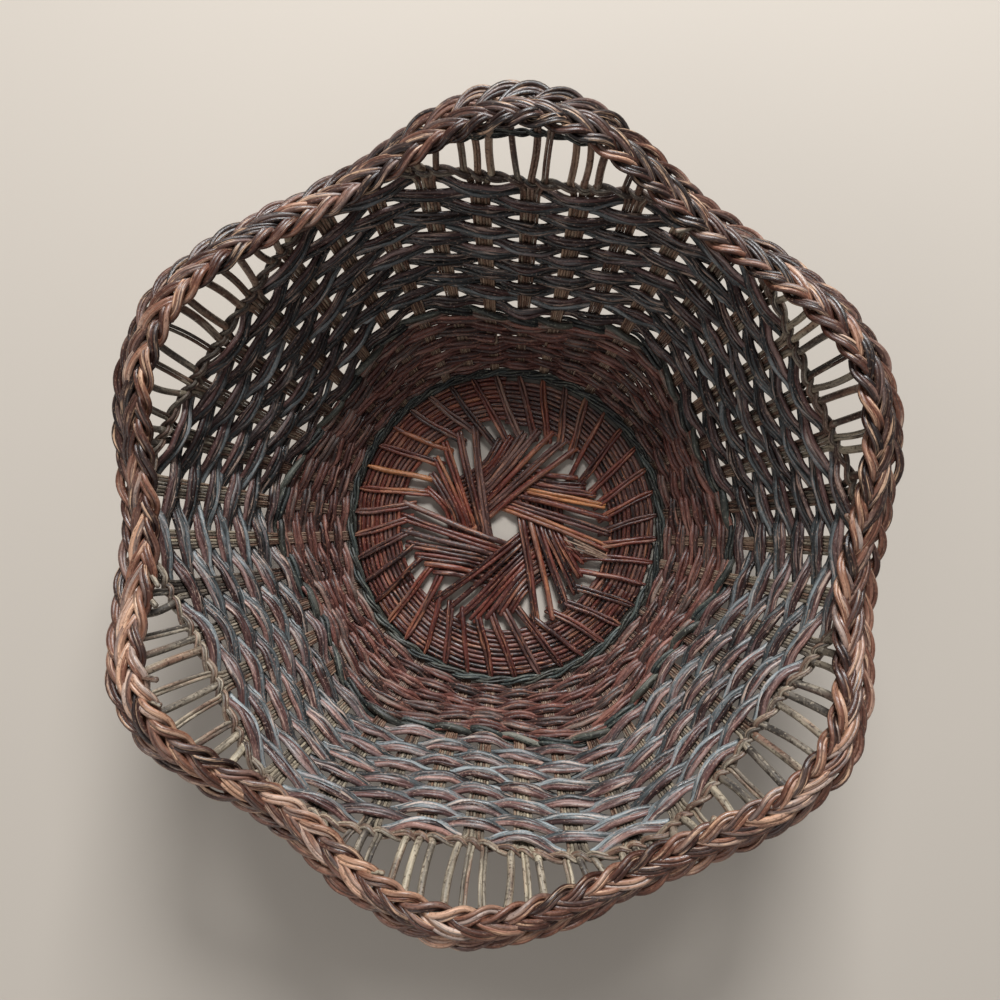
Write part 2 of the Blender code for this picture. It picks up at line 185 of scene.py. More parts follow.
# %% [markdown]
# ## How a rod is made
#
# A willow rod is a long cone, peeled or with its bark on, a little thicker at each bud and never
# quite straight. A curve object with a round bevel would do for one rod. This basket has over
# a thousand of them, all on paths that come from the body's shape, so each rod is built straight
# from its path in mesh code: a ring of eight points at each station of the path.
#
# Each rod also carries what its bark needs. The attribute "grain" holds the length along the rod
# and the place round it, so that streaks run along every bend. "tone" is one random number per
# rod, because no two rods dried alike, and "tint" says how far its bark is slate blue instead of
# red.

# %% One rod
side_count = 8
ring_turns = np.arange(side_count) * full_turn / side_count
ring_wide = np.cos(ring_turns)[None, :, None]
ring_deep = np.sin(ring_turns)[None, :, None]
# a rounded end reaches past the path and is thinner, both as shares of the rod's radius
end_reach_share, end_radius_share = 0.45, 0.62


def rod(path, face, radius, tone=0.5, tint=0.0, closed=False, wide=1.0):
    """A rod along a path: face points away from the body, wide flattens it across the path."""
    path = np.asarray(path, float)
    count = len(path)
    radius = np.broadcast_to(np.asarray(radius, float), (count,)).copy()
    face = np.broadcast_to(np.asarray(face, float), (count, 3))
    tint = np.broadcast_to(np.asarray(tint, float), (count,))
    if not closed:
        first = unit(path[0] - path[1]) * radius[0] * end_reach_share
        last = unit(path[-1] - path[-2]) * radius[-1] * end_reach_share
        path = np.vstack([path[0] + first, path, path[-1] + last])
        face = np.vstack([face[0], face, face[-1]])
        tint = np.concatenate([[tint[0]], tint, [tint[-1]]])
        radius = np.concatenate([[radius[0] * end_radius_share], radius,
                                 [radius[-1] * end_radius_share]])
    return dict(path=path, face=face, radius=radius, tone=tone, tint=tint, closed=closed, wide=wide)


def rod_mesh(one, seed):
    """Points, faces and the grain at each corner of each face: length along, place round."""
    path, radius = one["path"], one["radius"]
    count = len(path)
    if one["closed"]:
        run = np.roll(path, -1, axis=0) - np.roll(path, 1, axis=0)
    else:
        run = np.gradient(path, axis=0)
    run = unit(run)
    side = unit(np.cross(run, one["face"]))
    deep = np.cross(side, run)
    width = radius[:, None, None]
    points = (path[:, None, :] + side[:, None, :] * ring_wide * width * one["wide"]
              + deep[:, None, :] * ring_deep * width)
    steps = np.linalg.norm(np.diff(path, axis=0, append=path[:1]), axis=1)
    length = np.concatenate([[0.0], np.cumsum(steps)])
    span = count if one["closed"] else count - 1
    station = np.arange(span)[:, None]
    spoke = np.arange(side_count)[None, :]
    after = (station + 1) % count
    beside = (spoke + 1) % side_count
    quads = np.stack([station * side_count + spoke, after * side_count + spoke,
                      after * side_count + beside, station * side_count + beside], axis=-1)
    round_at = np.stack([np.cos(ring_turns), np.sin(ring_turns)], axis=-1) * float(radius.mean())
    grain = np.empty((span, side_count, 4, 3))
    grain[..., 0, 0] = grain[..., 3, 0] = length[:span][:, None]
    grain[..., 1, 0] = grain[..., 2, 0] = length[1:span + 1][:, None]
    grain[..., 0, 1:] = grain[..., 1, 1:] = round_at[None, :, :]
    grain[..., 2, 1:] = grain[..., 3, 1:] = np.roll(round_at, -1, axis=0)[None, :, :]
    grain[..., 0] += seed
    faces = quads.reshape(-1, 4).tolist()
    corners = [grain.reshape(-1, 3)]
    if not one["closed"]:
        last = (count - 1) * side_count
        faces.append(list(range(side_count)))
        faces.append([last + spoke for spoke in range(side_count - 1, -1, -1)])
        for end, order in ((0.0, round_at), (length[count - 1], round_at[::-1])):
            cap = np.empty((side_count, 3))
            cap[:, 0] = end + seed
            cap[:, 1:] = order
            corners.append(cap)
    return points.reshape(-1, 3), faces, np.concatenate(corners)


print("a rod has", side_count, "sides")

# %% [markdown]
# A piece of the basket is many rods in one mesh. Its tone also rises from the far side of a piece
# to its near side, as painted light that brightens the near side, by an amount that each piece can
# choose.

# %% One piece
# painted light: how much the tone rises from the far side of a piece to its near side
near_painted_light = 0.30
# how far apart the rods of a piece start in the pattern of the bark
seed_by_tone, seed_by_index, seed_span = 97.0, 0.713, 50.0
triangle_counts = {}


def add_piece(name, rods, finish, node=None, painted_light=near_painted_light):
    """One named piece made of many rods. It stands for a node of the frame, if one is given."""
    points, faces, grain, tone, tint = [], [], [], [], []
    start = 0
    for index, one in enumerate(rods):
        seed = (one["tone"] * seed_by_tone + index * seed_by_index) % seed_span
        rod_points, rod_faces, rod_grain = rod_mesh(one, seed)
        points.append(rod_points)
        faces.extend([corner + start for corner in face] for face in rod_faces)
        grain.append(rod_grain)
        # painted light: the near side of the piece is lighter
        nearer = -(rod_points[:, 1] - basket_middle[1]) / wall_top_radius
        tone.append(one["tone"] + nearer * painted_light)
        tint.append(np.repeat(one["tint"], side_count))
        start += len(rod_points)
    mesh = bpy.data.meshes.new(name)
    mesh.from_pydata(np.concatenate(points).tolist(), [], faces)
    along = mesh.attributes.new("grain", "FLOAT_VECTOR", "CORNER")
    along.data.foreach_set("vector", np.concatenate(grain).ravel())
    for label, values in (("tone", tone), ("tint", tint)):
        layer = mesh.attributes.new(label, "FLOAT", "POINT")
        layer.data.foreach_set("value", np.concatenate(values))
    mesh.shade_smooth()
    mesh.materials.append(finish)
    piece = bpy.data.objects.new(name, mesh)
    bpy.context.scene.collection.objects.link(piece)
    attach(piece, "root")
    if node:
        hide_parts(node)
    triangle_counts[name] = sum(len(face) - 2 for face in faces)
    return piece


# a sum of five waves seldom passes 2.2
wander_waves, wander_peak = 5, 2.2


def wander(turn, size, low, high, random):
    """Slow unevenness round a ring, as a sum of a few waves that close on themselves."""
    waves = np.zeros_like(turn)
    for step in range(wander_waves):
        cycles = random.integers(low, high)
        waves = waves + np.sin(turn * cycles + random.uniform(0.0, full_turn))
    return waves * size / wander_peak


# %% [markdown]
# ## The bark
#
# Brown willow keeps its bark. Seen close it is a thin glossy skin, streaked along the rod, with
# small pale pores and dark rings where buds sat. It goes from nearly black through red-brown to
# ochre where hands and the soil have rubbed it, and the same pale rubbed colour in narrow streaks
# also stands in for painted highlights. Old rods get a grey bloom, and some kinds dry to a slate
# blue or an olive.
#
# One function writes all of that as nodes, and each finish gives it its own colours. It reads the
# attributes of the rods, so nothing depends on where the camera stands.

# %% Bark nodes
class Bark:
    """Small helper that adds nodes to one material and joins them."""

    def __init__(self, name):
        self.material = bpy.data.materials.new(name)
        self.material.use_nodes = True
        self.tree = self.material.node_tree
        self.shader = self.tree.nodes["Principled BSDF"]

    def put(self, socket, value):
        if hasattr(value, "is_output"):
            self.tree.links.new(value, socket)
        elif hasattr(value, "__len__") and len(value) == 3 and socket.type == "RGBA":
            socket.default_value = (*value, 1.0)
        else:
            socket.default_value = value

    def attribute(self, name, output):
        node = self.tree.nodes.new("ShaderNodeAttribute")
        node.attribute_name = name
        return node.outputs[output]

    def maths(self, operation, first, second):
        node = self.tree.nodes.new("ShaderNodeMath")
        node.operation = operation
        self.put(node.inputs[0], first)
        self.put(node.inputs[1], second)
        return node.outputs[0]

    def stretch(self, vector, scale):
        node = self.tree.nodes.new("ShaderNodeVectorMath")
        node.operation = "MULTIPLY"
        self.put(node.inputs[0], vector)
        node.inputs[1].default_value = scale
        return node.outputs[0]

    def noise(self, vector, scale, detail=2.0, rough=0.5):
        node = self.tree.nodes.new("ShaderNodeTexNoise")
        node.inputs["Scale"].default_value = 1.0
        node.inputs["Detail"].default_value = detail
        node.inputs["Roughness"].default_value = rough
        self.put(node.inputs["Vector"], self.stretch(vector, scale))
        return node.outputs["Fac"]

    def window(self, value, low, high, out_low=0.0, out_high=1.0):
        """Spreads a value from one range to another, and holds it at the ends."""
        node = self.tree.nodes.new("ShaderNodeMapRange")
        self.put(node.inputs["Value"], value)
        node.inputs["From Min"].default_value = low
        node.inputs["From Max"].default_value = high
        node.inputs["To Min"].default_value = out_low
        node.inputs["To Max"].default_value = out_high
        return node.outputs["Result"]

    def ramp(self, value, stops):
        node = self.tree.nodes.new("ShaderNodeValToRGB")
        entries = node.color_ramp.elements
        while len(entries) < len(stops):
            entries.new(0.5)
        for entry, (position, colour) in zip(entries, stops):
            entry.position = position
            entry.color = (*colour, 1.0)
        self.put(node.inputs["Fac"], value)
        return node.outputs["Color"]

    def mix(self, kind, share, first, second):
        node = self.tree.nodes.new("ShaderNodeMix")
        node.data_type = "RGBA"
        node.blend_type = kind
        self.put(node.inputs["Factor"], share)
        self.put(node.inputs[6], first)
        self.put(node.inputs[7], second)
        return node.outputs[2]


# %% [markdown]
# A colour is written as the eye reads it, from 0 to 255, and turned into what the shader needs.
# The finish then lays the bark on in the order in which it came about: its own colour from dark to
# light, streaks, worn places that are also painted highlights, the grey bloom, pale pores, dark pits
# and the scars of the buds.

# %% Bark recipe
def linear(red, green, blue):
    values = []
    for value in (red, green, blue):
        value = value / 255.0
        values.append(value / 12.92 if value <= 0.04045 else ((value + 0.055) / 1.055) ** 2.4)
    return tuple(values)


def palette(*colours):
    return [linear(*colour) for colour in colours]


# where the four colours of a palette lie between the darkest bark and the lightest
palette_stops = (0.0, 0.3, 0.6, 1.0)
streak_stops = [(0.30, (0.28, 0.25, 0.24)), (0.48, (0.90, 0.90, 0.90)), (0.70, (1.55, 1.53, 1.50))]
pit_shade, scar_shade = (0.32, 0.28, 0.26), (0.30, 0.24, 0.22)
bump_depth = 0.00030


def bark_finish(name, reds, slates, pale_wear_and_highlight, bloom, wear_and_highlight_share, bloom_share, rough=0.48,
                speck_share=0.7, pore_share=0.42, streak_share=1.0):
    """reds and slates are palettes. The shares say how strong each layer is."""
    bark = Bark(name)
    grain = bark.attribute("grain", "Vector")
    tone = bark.attribute("tone", "Fac")
    tint = bark.attribute("tint", "Fac")
    # cycles in a metre, along the rod and round it
    patch = bark.noise(grain, (26.0, 160.0, 160.0), 3.0, 0.6)
    streak = bark.noise(grain, (90.0, 1700.0, 1700.0), 3.0, 0.70)
    second = bark.noise(grain, (60.0, 520.0, 520.0), 2.0)
    speck = bark.noise(grain, (900.0, 1300.0, 1300.0), 1.0)
    scar = bark.noise(grain, (34.0, 3.0, 3.0), 0.0)
    level = bark.maths("ADD", bark.maths("MULTIPLY", tone, 0.55),
                       bark.window(patch, 0.3, 0.7, -0.12, 0.55))
    red = bark.ramp(level, list(zip(palette_stops, reds)))
    slate = bark.ramp(level, list(zip(palette_stops, slates)))
    shift = bark.maths("ADD", tint, bark.window(second, 0.35, 0.65, -0.35, 0.35))
    colour = bark.mix("MIX", bark.window(shift, 0.25, 0.75), red, slate)
    colour = bark.mix("MULTIPLY", streak_share, colour, bark.ramp(streak, streak_stops))
    # worn places in narrow streaks, which also serve as painted highlights along the rods
    wear_and_highlight_at = bark.maths("MULTIPLY", bark.window(second, 0.56, 0.64),
                         bark.window(streak, 0.46, 0.58))
    colour = bark.mix("MIX", bark.maths("MULTIPLY", wear_and_highlight_at, wear_and_highlight_share), colour, pale_wear_and_highlight)
    bloom_at = bark.maths("MULTIPLY", bark.window(patch, 0.52, 0.70), bloom_share)
    colour = bark.mix("MIX", bloom_at, colour, bloom)
    pores = bark.maths("MULTIPLY", bark.window(speck, 0.62, 0.70), pore_share)
    colour = bark.mix("MIX", pores, colour, pale_wear_and_highlight)
    pits = bark.maths("MULTIPLY", bark.window(speck, 0.40, 0.32), speck_share)
    colour = bark.mix("MULTIPLY", pits, colour, pit_shade)
    scars = bark.maths("MULTIPLY", bark.window(scar, 0.73, 0.77), 0.6)
    colour = bark.mix("MULTIPLY", scars, colour, scar_shade)
    bark.put(bark.shader.inputs["Base Color"], colour)
    bark.put(bark.shader.inputs["Specular IOR Level"], 0.62)
    # the bloom is dull, and the streaks and pores stand out a little
    roughness = bark.window(streak, 0.3, 0.7, rough - 0.12, rough + 0.16)
    bark.put(bark.shader.inputs["Roughness"],
             bark.maths("ADD", roughness, bark.maths("MULTIPLY", bloom_at, 0.4)))
    height = bark.maths("ADD", streak, bark.maths("MULTIPLY", patch, 0.5))
    height = bark.maths("ADD", height, bark.maths("MULTIPLY", pores, 0.8))
    bump = bark.tree.nodes.new("ShaderNodeBump")
    bump.inputs["Strength"].default_value = 0.7
    bump.inputs["Distance"].default_value = bump_depth
    bark.put(bump.inputs["Height"], height)
    bark.put(bark.shader.inputs["Normal"], bump.outputs["Normal"])
    return bark.material


print("a bark brown as the shader needs it:", [round(value, 3) for value in linear(76, 43, 32)])

# %% [markdown]
# The basket needs six barks. The base is reddest, the rows below the waist are duller, the wall
# mixes red and slate rods, the stakes have lost most of their colour, the rings are darkest, and
# the border is the most worn and shines most, because hands hold the basket there, and its worn
# streaks carry the most painted highlight.

# %% The six finishes
base_bark = bark_finish(
    "base_bark",
    palette((30, 10, 9), (80, 34, 28), (124, 61, 48), (196, 130, 80)),
    palette((28, 17, 16), (68, 44, 41), (110, 80, 73), (154, 124, 108)),
    pale_wear_and_highlight=linear(214, 142, 104), bloom=linear(132, 110, 106), wear_and_highlight_share=0.55, bloom_share=0.16,
    rough=0.36)
stake_bark = bark_finish(
    "stake_bark",
    palette((28, 17, 13), (74, 50, 40), (122, 92, 75), (180, 150, 124)),
    palette((34, 30, 27), (80, 73, 66), (136, 125, 109), (196, 183, 156)),
    pale_wear_and_highlight=linear(222, 206, 180), bloom=linear(150, 146, 142), wear_and_highlight_share=0.40, bloom_share=0.22,
    speck_share=0.95, pore_share=0.3, streak_share=0.85)
fine_bark = bark_finish(
    "fine_bark",
    palette((26, 11, 9), (70, 37, 32), (112, 66, 57), (168, 116, 100)),
    palette((28, 21, 19), (64, 50, 46), (102, 85, 78), (152, 134, 120)),
    pale_wear_and_highlight=linear(206, 146, 122), bloom=linear(128, 112, 106), wear_and_highlight_share=0.45, bloom_share=0.3,
    rough=0.42)
row_bark = bark_finish(
    "row_bark",
    palette((22, 11, 10), (60, 37, 35), (105, 73, 69), (176, 136, 124)),
    palette((13, 14, 14), (43, 47, 48), (87, 94, 96), (166, 176, 178)),
    pale_wear_and_highlight=linear(240, 204, 182), bloom=linear(144, 148, 152), wear_and_highlight_share=0.55, bloom_share=0.32,
    rough=0.36, pore_share=0.3)
dark_bark = bark_finish(
    "dark_bark",
    palette((18, 17, 15), (42, 41, 35), (86, 85, 74), (154, 152, 138)),
    palette((12, 14, 14), (28, 36, 36), (64, 75, 72), (148, 156, 146)),
    pale_wear_and_highlight=linear(164, 164, 146), bloom=linear(112, 118, 116), wear_and_highlight_share=0.35, bloom_share=0.3)
border_bark = bark_finish(
    "border_bark",
    palette((28, 13, 9), (76, 43, 32), (126, 82, 63), (206, 162, 132)),
    palette((26, 18, 17), (70, 52, 47), (114, 92, 84), (190, 170, 158)),
    pale_wear_and_highlight=linear(246, 202, 164), bloom=linear(172, 152, 144), wear_and_highlight_share=0.6, bloom_share=0.25,
    rough=0.34, pore_share=0.14, streak_share=0.72)
print("finishes:", [material.name for material in bpy.data.materials if "bark" in material.name])


# %% [markdown]
# ## The base
#
# The base is a pinwheel. Six bundles of six or seven pairs of rods cross each other round a small
# hole. Each bundle lies over the tips of the one before it. Beyond the crossing its rods fold one
# after the other and fan out as the legs of the base, forty in all, one for each side stake.
#
# Each rod follows the line of its solid in two parts: the rod, from a tip tucked low and past the
# hole to the fold, and the leg, from the fold to the edge. The solid's corners are sharp. A willow
# rod can only bend over some length, so each corner of a route is cut off three times, which
# leaves a smooth bend.

# %% Route of a leg
bundle_rod_counts = (7, 7, 6, 7, 7, 6)
bundle_pitch = full_turn / len(bundle_rod_counts)
first_bundle_turn = math.radians(-38.3)
hole_radius = 0.0056
bundle_rod_pitch = 0.0042
base_rod_depth = 0.0022
base_radius = 0.0740
tuck_run, tuck_gap = 0.0220, 0.0005
# the folds of a bundle lie on a fan, and the last ones are drawn in towards the middle
lead_kink_turn = math.radians(9.6)
kink_fan = math.radians(49.2)
kink_radius = 0.0490
kink_draw_in, draw_in_start, draw_in_span = 0.0085, 0.3, 0.7
fold_reach = 0.0036
leg_overlap, leg_past_edge = 0.0028, 0.003
corner_cuts = 3
route_step = 0.0020


def soften(points, rounds):
    """Cuts each corner of a route at a quarter and three quarters, and keeps its ends."""
    for cut in range(rounds):
        early = blend(points[:-1], points[1:], 0.25)
        late = blend(points[:-1], points[1:], 0.75)
        inner = np.stack([early, late], axis=1).reshape(-1, 3)
        points = np.vstack([points[:1], inner, points[-1:]])
    return points


def even(points, step):
    """The same route with stations at an even step."""
    length = np.concatenate([[0.0], np.cumsum(np.linalg.norm(np.diff(points, axis=0), axis=1))])
    stops = np.linspace(0.0, length[-1], max(3, int(round(length[-1] / step)) + 1))
    return np.stack([np.interp(stops, length, points[:, axis]) for axis in range(3)], axis=-1)


def leg_routes(bundle, index):
    """Stations of a bundle's rod, from its tucked tip to the fold, and of its leg beyond it."""
    count = bundle_rod_counts[bundle]
    base_turn = first_bundle_turn + bundle * bundle_pitch
    offset_way, rod_way = heading(base_turn), heading(base_turn + full_turn / 4)
    aside = hole_radius + (index + 0.5) * bundle_rod_pitch
    edge_run = (aside * math.cos(bundle_pitch) - hole_radius) / math.sin(bundle_pitch) + tuck_gap
    first_stake = sum(bundle_rod_counts[:bundle]) - bundle_rod_counts[0] // 2
    stake = first_stake + count - 1 - index
    fold_turn = base_turn + full_turn / 4 - lead_kink_turn - kink_fan * index / (count - 1)
    draw_in = smooth((index / (count - 1) - draw_in_start) / draw_in_span)
    fold = heading(fold_turn) * (kink_radius - kink_draw_in * draw_in)
    end_way = heading(first_stake_turn + stake * stake_pitch)
    start = rod_way * edge_run + offset_way * aside
    before = unit(fold - start)
    after = unit(end_way * base_radius - fold)
    low = stake_level - base_rod_depth
    rod_stops = np.array([rod_way * (edge_run - tuck_run) + offset_way * aside,
                          start - rod_way * 0.001, start + before * 0.003,
                          blend(start, fold, 0.6), fold + before * fold_reach])
    rod_stops[:, 2] = [low - 0.0003, low - 0.0002, stake_level + 0.0001, stake_level + 0.0003,
                       stake_level - 0.0011]
    leg_stops = np.array([fold - after * leg_overlap, fold + after * 0.0004, fold + after * 0.0070,
                          blend(fold, end_way * base_radius, 0.6),
                          end_way * (base_radius + leg_past_edge)])
    leg_stops[:, 2] = [stake_level - 0.0022, stake_level - 0.0010, stake_level + 0.0001, stake_level,
                       stake_level - 0.0002]
    return [even(soften(stops, corner_cuts), route_step) + basket_middle
            for stops in (rod_stops, leg_stops)]


print("a rod and its leg have", [len(route) for route in leg_routes(0, 0)], "stations")

# %% Bundles of the base
# painted light on the base runs the other way: it is palest on its far side, which lies in shade
base_painted_light = -0.40
base_face = (0.0, 0.0, 1.0)
# radius at the two ends of a rod, and of its leg
bundle_rod_radii = ((0.00106, 0.00102), (0.00100, 0.00086))
# how far the first and the last rod of a bundle bow sideways, and how uneven that is
first_bow, last_bow, bow_spread = -0.0010, 0.0019, 0.0006
# here and there one thick rod lies in place of a pair
single_share, single_girth = 0.22, 1.45
# the bark is pinched where the rod folds
fold_pinch, fold_sharpness = 0.55, 7.0
ripple_aside, ripple_height = 0.00014, 0.00012
# bundle, rod and part of the rods that dried golden: part 0 is the rod, part 1 its leg
golden_rods, golden_tone = {(1, 3, 0), (5, 4, 1)}, 1.3


def add_bundle(bundle):
    random = np.random.default_rng(100 + bundle)
    rods = []
    for index in range(bundle_rod_counts[bundle]):
        pair_tone = random.uniform(-0.1, 0.65)
        pair_tint = random.uniform(-0.3, 1.1)
        for part, route in enumerate(leg_routes(bundle, index)):
            run = unit(np.gradient(route, axis=0))
            side = unit(np.cross(run, base_face))
            share = np.linspace(0.0, 1.0, len(route))
            bend = blend(first_bow, last_bow, index / 6) * (1 - part)
            bend = bend + random.uniform(-bow_spread, bow_spread)
            bow = np.sin(math.pi * share) * bend
            single = random.random() < single_share
            for half in (0,) if single else (-1, 1):
                thick = blend(*bundle_rod_radii[part], share)
                thick = thick * random.uniform(0.92, 1.06) * (single_girth if single else 1.0)
                at_fold = smooth((part - share) * (1 - 2 * part) * fold_sharpness + 1.0)
                thick = thick * (1.0 - fold_pinch * at_fold)
                ripple = np.sin(share * random.uniform(8.0, 14.0) + random.uniform(0.0, 6.0))
                path = route + side * (half * thick * 0.96 + bow + ripple * ripple_aside)[:, None]
                path[:, 2] += ripple * ripple_height + random.uniform(-0.0002, 0.0002)
                tone = np.clip(pair_tone + random.uniform(-0.25, 0.25), -0.2, 1.2)
                tint = pair_tint + random.uniform(-0.2, 0.2)
                if (bundle, index, part) in golden_rods:
                    tone, tint = golden_tone, 0.0
                rods.append(rod(path, base_face, thick, tone, tint))
    name = "base_bundle_" + "abcdef"[bundle]
    add_piece(name + "_rods", rods, base_bark, name, base_painted_light)


for bundle in range(len(bundle_rod_counts)):
    add_bundle(bundle)
print("bundle triangles:", [triangle_counts[name] for name in sorted(triangle_counts)])

# %% [markdown]
# One rod beside the hole has snapped. Its pale wood shows, and the end is frayed into splinters.

# %% Broken rod
broken_from = np.array([0.0290, -0.0078])
broken_to = np.array([0.0535, -0.0178])
splinter_count = 8
# how far the splinters spread to each side, and their radius at the tip and at the root
splinter_spread = 0.0022
splinter_radii = (0.00028, 0.00072)
# the break stands above the base, and the rod sinks back into it
broken_lift, broken_fall = 0.0023, 0.0030


def add_broken_rod():
    random = np.random.default_rng(180)
    rods = []
    share = np.linspace(0.0, 1.0, 14)
    way = unit(broken_to - broken_from)
    aside = np.array([-way[1], way[0]])
    for splinter in range(splinter_count):
        start = random.uniform(0.05, 0.45) if splinter else 0.0
        run = blend(start, 1.0, share)
        spread = random.uniform(-splinter_spread, splinter_spread) * (1.0 - run) ** 0.6
        spot = broken_from + (broken_to - broken_from) * run[:, None]
        spot = spot + aside * (spread + random.uniform(-0.0005, 0.0005))[:, None]
        height = stake_level + broken_lift - run ** 2 * broken_fall
        height = height + random.uniform(0.0, 0.0012) * (1.0 - run)
        path = np.column_stack([spot, height]) + basket_middle
        thick = blend(*splinter_radii, run ** 0.4) * random.uniform(0.8, 1.1)
        rods.append(rod(path, base_face, thick, random.uniform(0.5, 1.2),
                        random.uniform(-0.2, 0.3)))
    add_piece("broken_rod", rods, stake_bark)


add_broken_rod()
print("broken rod triangles:", triangle_counts["broken_rod"])

# %% [markdown]
# The legs lie on a coil. One weaver goes round ten times. Between two legs it springs up a
# little, and a leg presses it down. A long weaver is pieced together from several rods, so its
# colour changes on the way.

# %% Coils of the base
coil_turns = 10
coil_inner, coil_outer = 0.0522, 0.0746
coil_level = stake_level - 0.0018
coil_rod_radius = 0.00108
coil_half_spring = 0.00022
coil_rod_count = 30


def add_coils():
    random = np.random.default_rng(200)
    stations = coil_turns * stake_count * 5
    share = np.linspace(0.0, 1.0, stations + 1)
    turn = share * coil_turns * full_turn
    legs = (turn - first_stake_turn) / stake_pitch
    radius = blend(coil_inner, coil_outer, share) + wander(turn, 0.00022, 7, 31, random)
    height = coil_level + (1.0 - np.cos(full_turn * legs)) * coil_half_spring
    thick = coil_rod_radius * (1.0 + wander(turn, 0.08, 3, 11, random))
    rods = []
    cuts = np.linspace(0, stations, coil_rod_count + 1).astype(int)
    for start, end in zip(cuts, cuts[1:]):
        piece = slice(start, end + 1)
        rods.append(rod(place(turn[piece], radius[piece], height[piece]), base_face,
                        thick[piece], random.uniform(-0.1, 0.6), random.uniform(0.0, 0.9)))
    add_piece("base_weaver_rods", rods, base_bark, "base_weaver", base_painted_light)


add_coils()
print("coil triangles:", triangle_counts["base_weaver_rods"])

# %% [markdown]
# ## Rings
#
# Where a row has to hold the stakes apart, two strands are twisted round each other, with a stake
# in each twist. That makes a rope on the inside and the outside. Each strand swings out and in,
# and up and down a quarter of a turn later, so a cosine and a sine of the stakes passed are
# enough. The base ring, the waist, the twine above the wall and the twine under the border are
# all twisted.
#
# A willow rod is too short to go round. It ends behind a stake, where the joint doesn't show, and
# the next one starts there. So a ring that is seen from near is cut at a few stakes into open
# rods, each with a bark of its own.

# %% Rings and their joints
def ring_turns_of(count):
    return np.arange(count) * full_turn / count


def joins_of(parity, count, stations, random):
    """Stations where a row is outside a stake, so that the joints of its rods are hidden there."""
    stakes = random.choice(np.arange(parity % 2, stake_count, 2), count, replace=False)
    turns = (first_stake_turn + stakes * stake_pitch) / full_turn
    return np.sort(np.round(turns * stations).astype(int) % stations)


def pieces_of(path, face, radius, joins, random, tones, tints):
    """A ring cut into open rods, each with a bark of its own."""
    count = len(path)
    rods = []
    for start, end in zip(joins, np.append(joins[1:], joins[0] + count)):
        at = np.arange(start, end + 1) % count
        rods.append(rod(path[at], face[at], radius[at], random.uniform(*tones),
                        random.uniform(*tints)))
    return rods


print("joints of a ring:", joins_of(0, 6, stake_count * 8, np.random.default_rng(1)))


# %% Twine round the base, and the ring under it
base_twine_lift = 0.0014
base_twine_swing, base_twine_rise = 0.0009, 0.0010
base_twine_radius, base_twine_half_gap = 0.00074, 0.00066
base_twine_tints = (0.2, 0.8)
# level and inset of the four rods under the edge of the base
foot_ring_rods = ((0.00090, -0.00085), (0.00090, 0.00085), (0.00242, -0.0008), (0.00242, 0.0008))
foot_ring_rod_radius = 0.00082


def add_base_rings():
    random = np.random.default_rng(300)
    turn = ring_turns_of(stake_count * 8)
    legs = (turn - first_stake_turn) / stake_pitch
    rods = []
    for strand in range(2):
        phase = math.pi * (legs + strand)
        for half in (-1, 1):
            radius = foot_radius + np.sin(phase) * base_twine_swing + half * base_twine_half_gap
            height = stake_level + base_twine_lift + np.cos(phase) * base_twine_rise
            height = height + wander(turn, 0.0002, 9, 37, random)
            radius = radius + wander(turn, 0.0002, 9, 37, random)
            thick = base_twine_radius * (1.0 + wander(turn, 0.08, 5, 17, random))
            rods.append(rod(place(turn, radius, height), base_face, thick,
                            random.uniform(0.0, 0.45), base_twine_tints[strand], closed=True))
    add_piece("base_twine_rods", rods, dark_bark, "base_twine")
    rods = []
    for level, inset in foot_ring_rods:
        radius = foot_radius + inset + np.sin(math.pi * legs) * 0.00012
        height = level + wander(turn, 0.00003, 9, 37, random)
        rods.append(rod(place(turn, radius, height), base_face, foot_ring_rod_radius,
                        random.uniform(0.15, 0.6), random.uniform(0.2, 0.9), closed=True))
    add_piece("foot_ring_rods", rods, dark_bark, "foot_ring")


add_base_rings()
print("base twine triangles:", triangle_counts["base_twine_rods"])


# %% [markdown]
# At the waist one strand is a single fat rod and the other a pair of thin ones, nearly black. Both
# lie flat against the stakes and cross between them, so the wave is squared off: a cosine through
# tanh has a flat top and a steep side.

# %% Rope at the waist
rope_climb = 0.972
rope_halves = ((0,), (-1, 1))
rope_radii = (0.00176, 0.00118)
rope_tones, rope_tints = ((0.15, 0.65), (-0.3, 0.1)), ((0.1, 0.9), (0.7, 1.0))
rope_swing, rope_rise = 0.0021, 0.0010
rope_half_gap = 0.00108
rope_squareness = 1.5
# a strand is this much thinner outside the stakes
rope_thinning = 0.20
rope_rod_count = 7


def add_waist():
    random = np.random.default_rng(310)
    stations = stake_count * 10
    turn = ring_turns_of(stations)
    legs = (turn - first_stake_turn) / stake_pitch
    middle, along, up, out = shell_frame(turn, rope_climb)
    rods = []
    for strand in range(2):
        phase = math.pi * (legs + strand)
        outward = np.tanh(rope_squareness * np.cos(phase)) / math.tanh(rope_squareness)
        swell = 1.0 - rope_thinning * (1.0 + outward) / 2
        for half in rope_halves[strand]:
            radius = rope_radii[strand] * swell * (1.0 + wander(turn, 0.06, 5, 17, random))
            rise = np.sin(phase) * rope_rise + half * rope_half_gap
            rise = rise + wander(turn, 0.0002, 9, 47, random)
            depth = outward * rope_swing + wander(turn, 0.00016, 9, 47, random)
            path = middle + out * depth[:, None] + up * rise[:, None]
            joins = joins_of(strand, rope_rod_count, stations, random)
            rods += pieces_of(path, out, radius, joins, random, rope_tones[strand],
                              rope_tints[strand])
    add_piece("waist_wale_rods", rods, dark_bark, "waist_wale")


add_waist()
print("waist triangles:", triangle_counts["waist_wale_rods"])

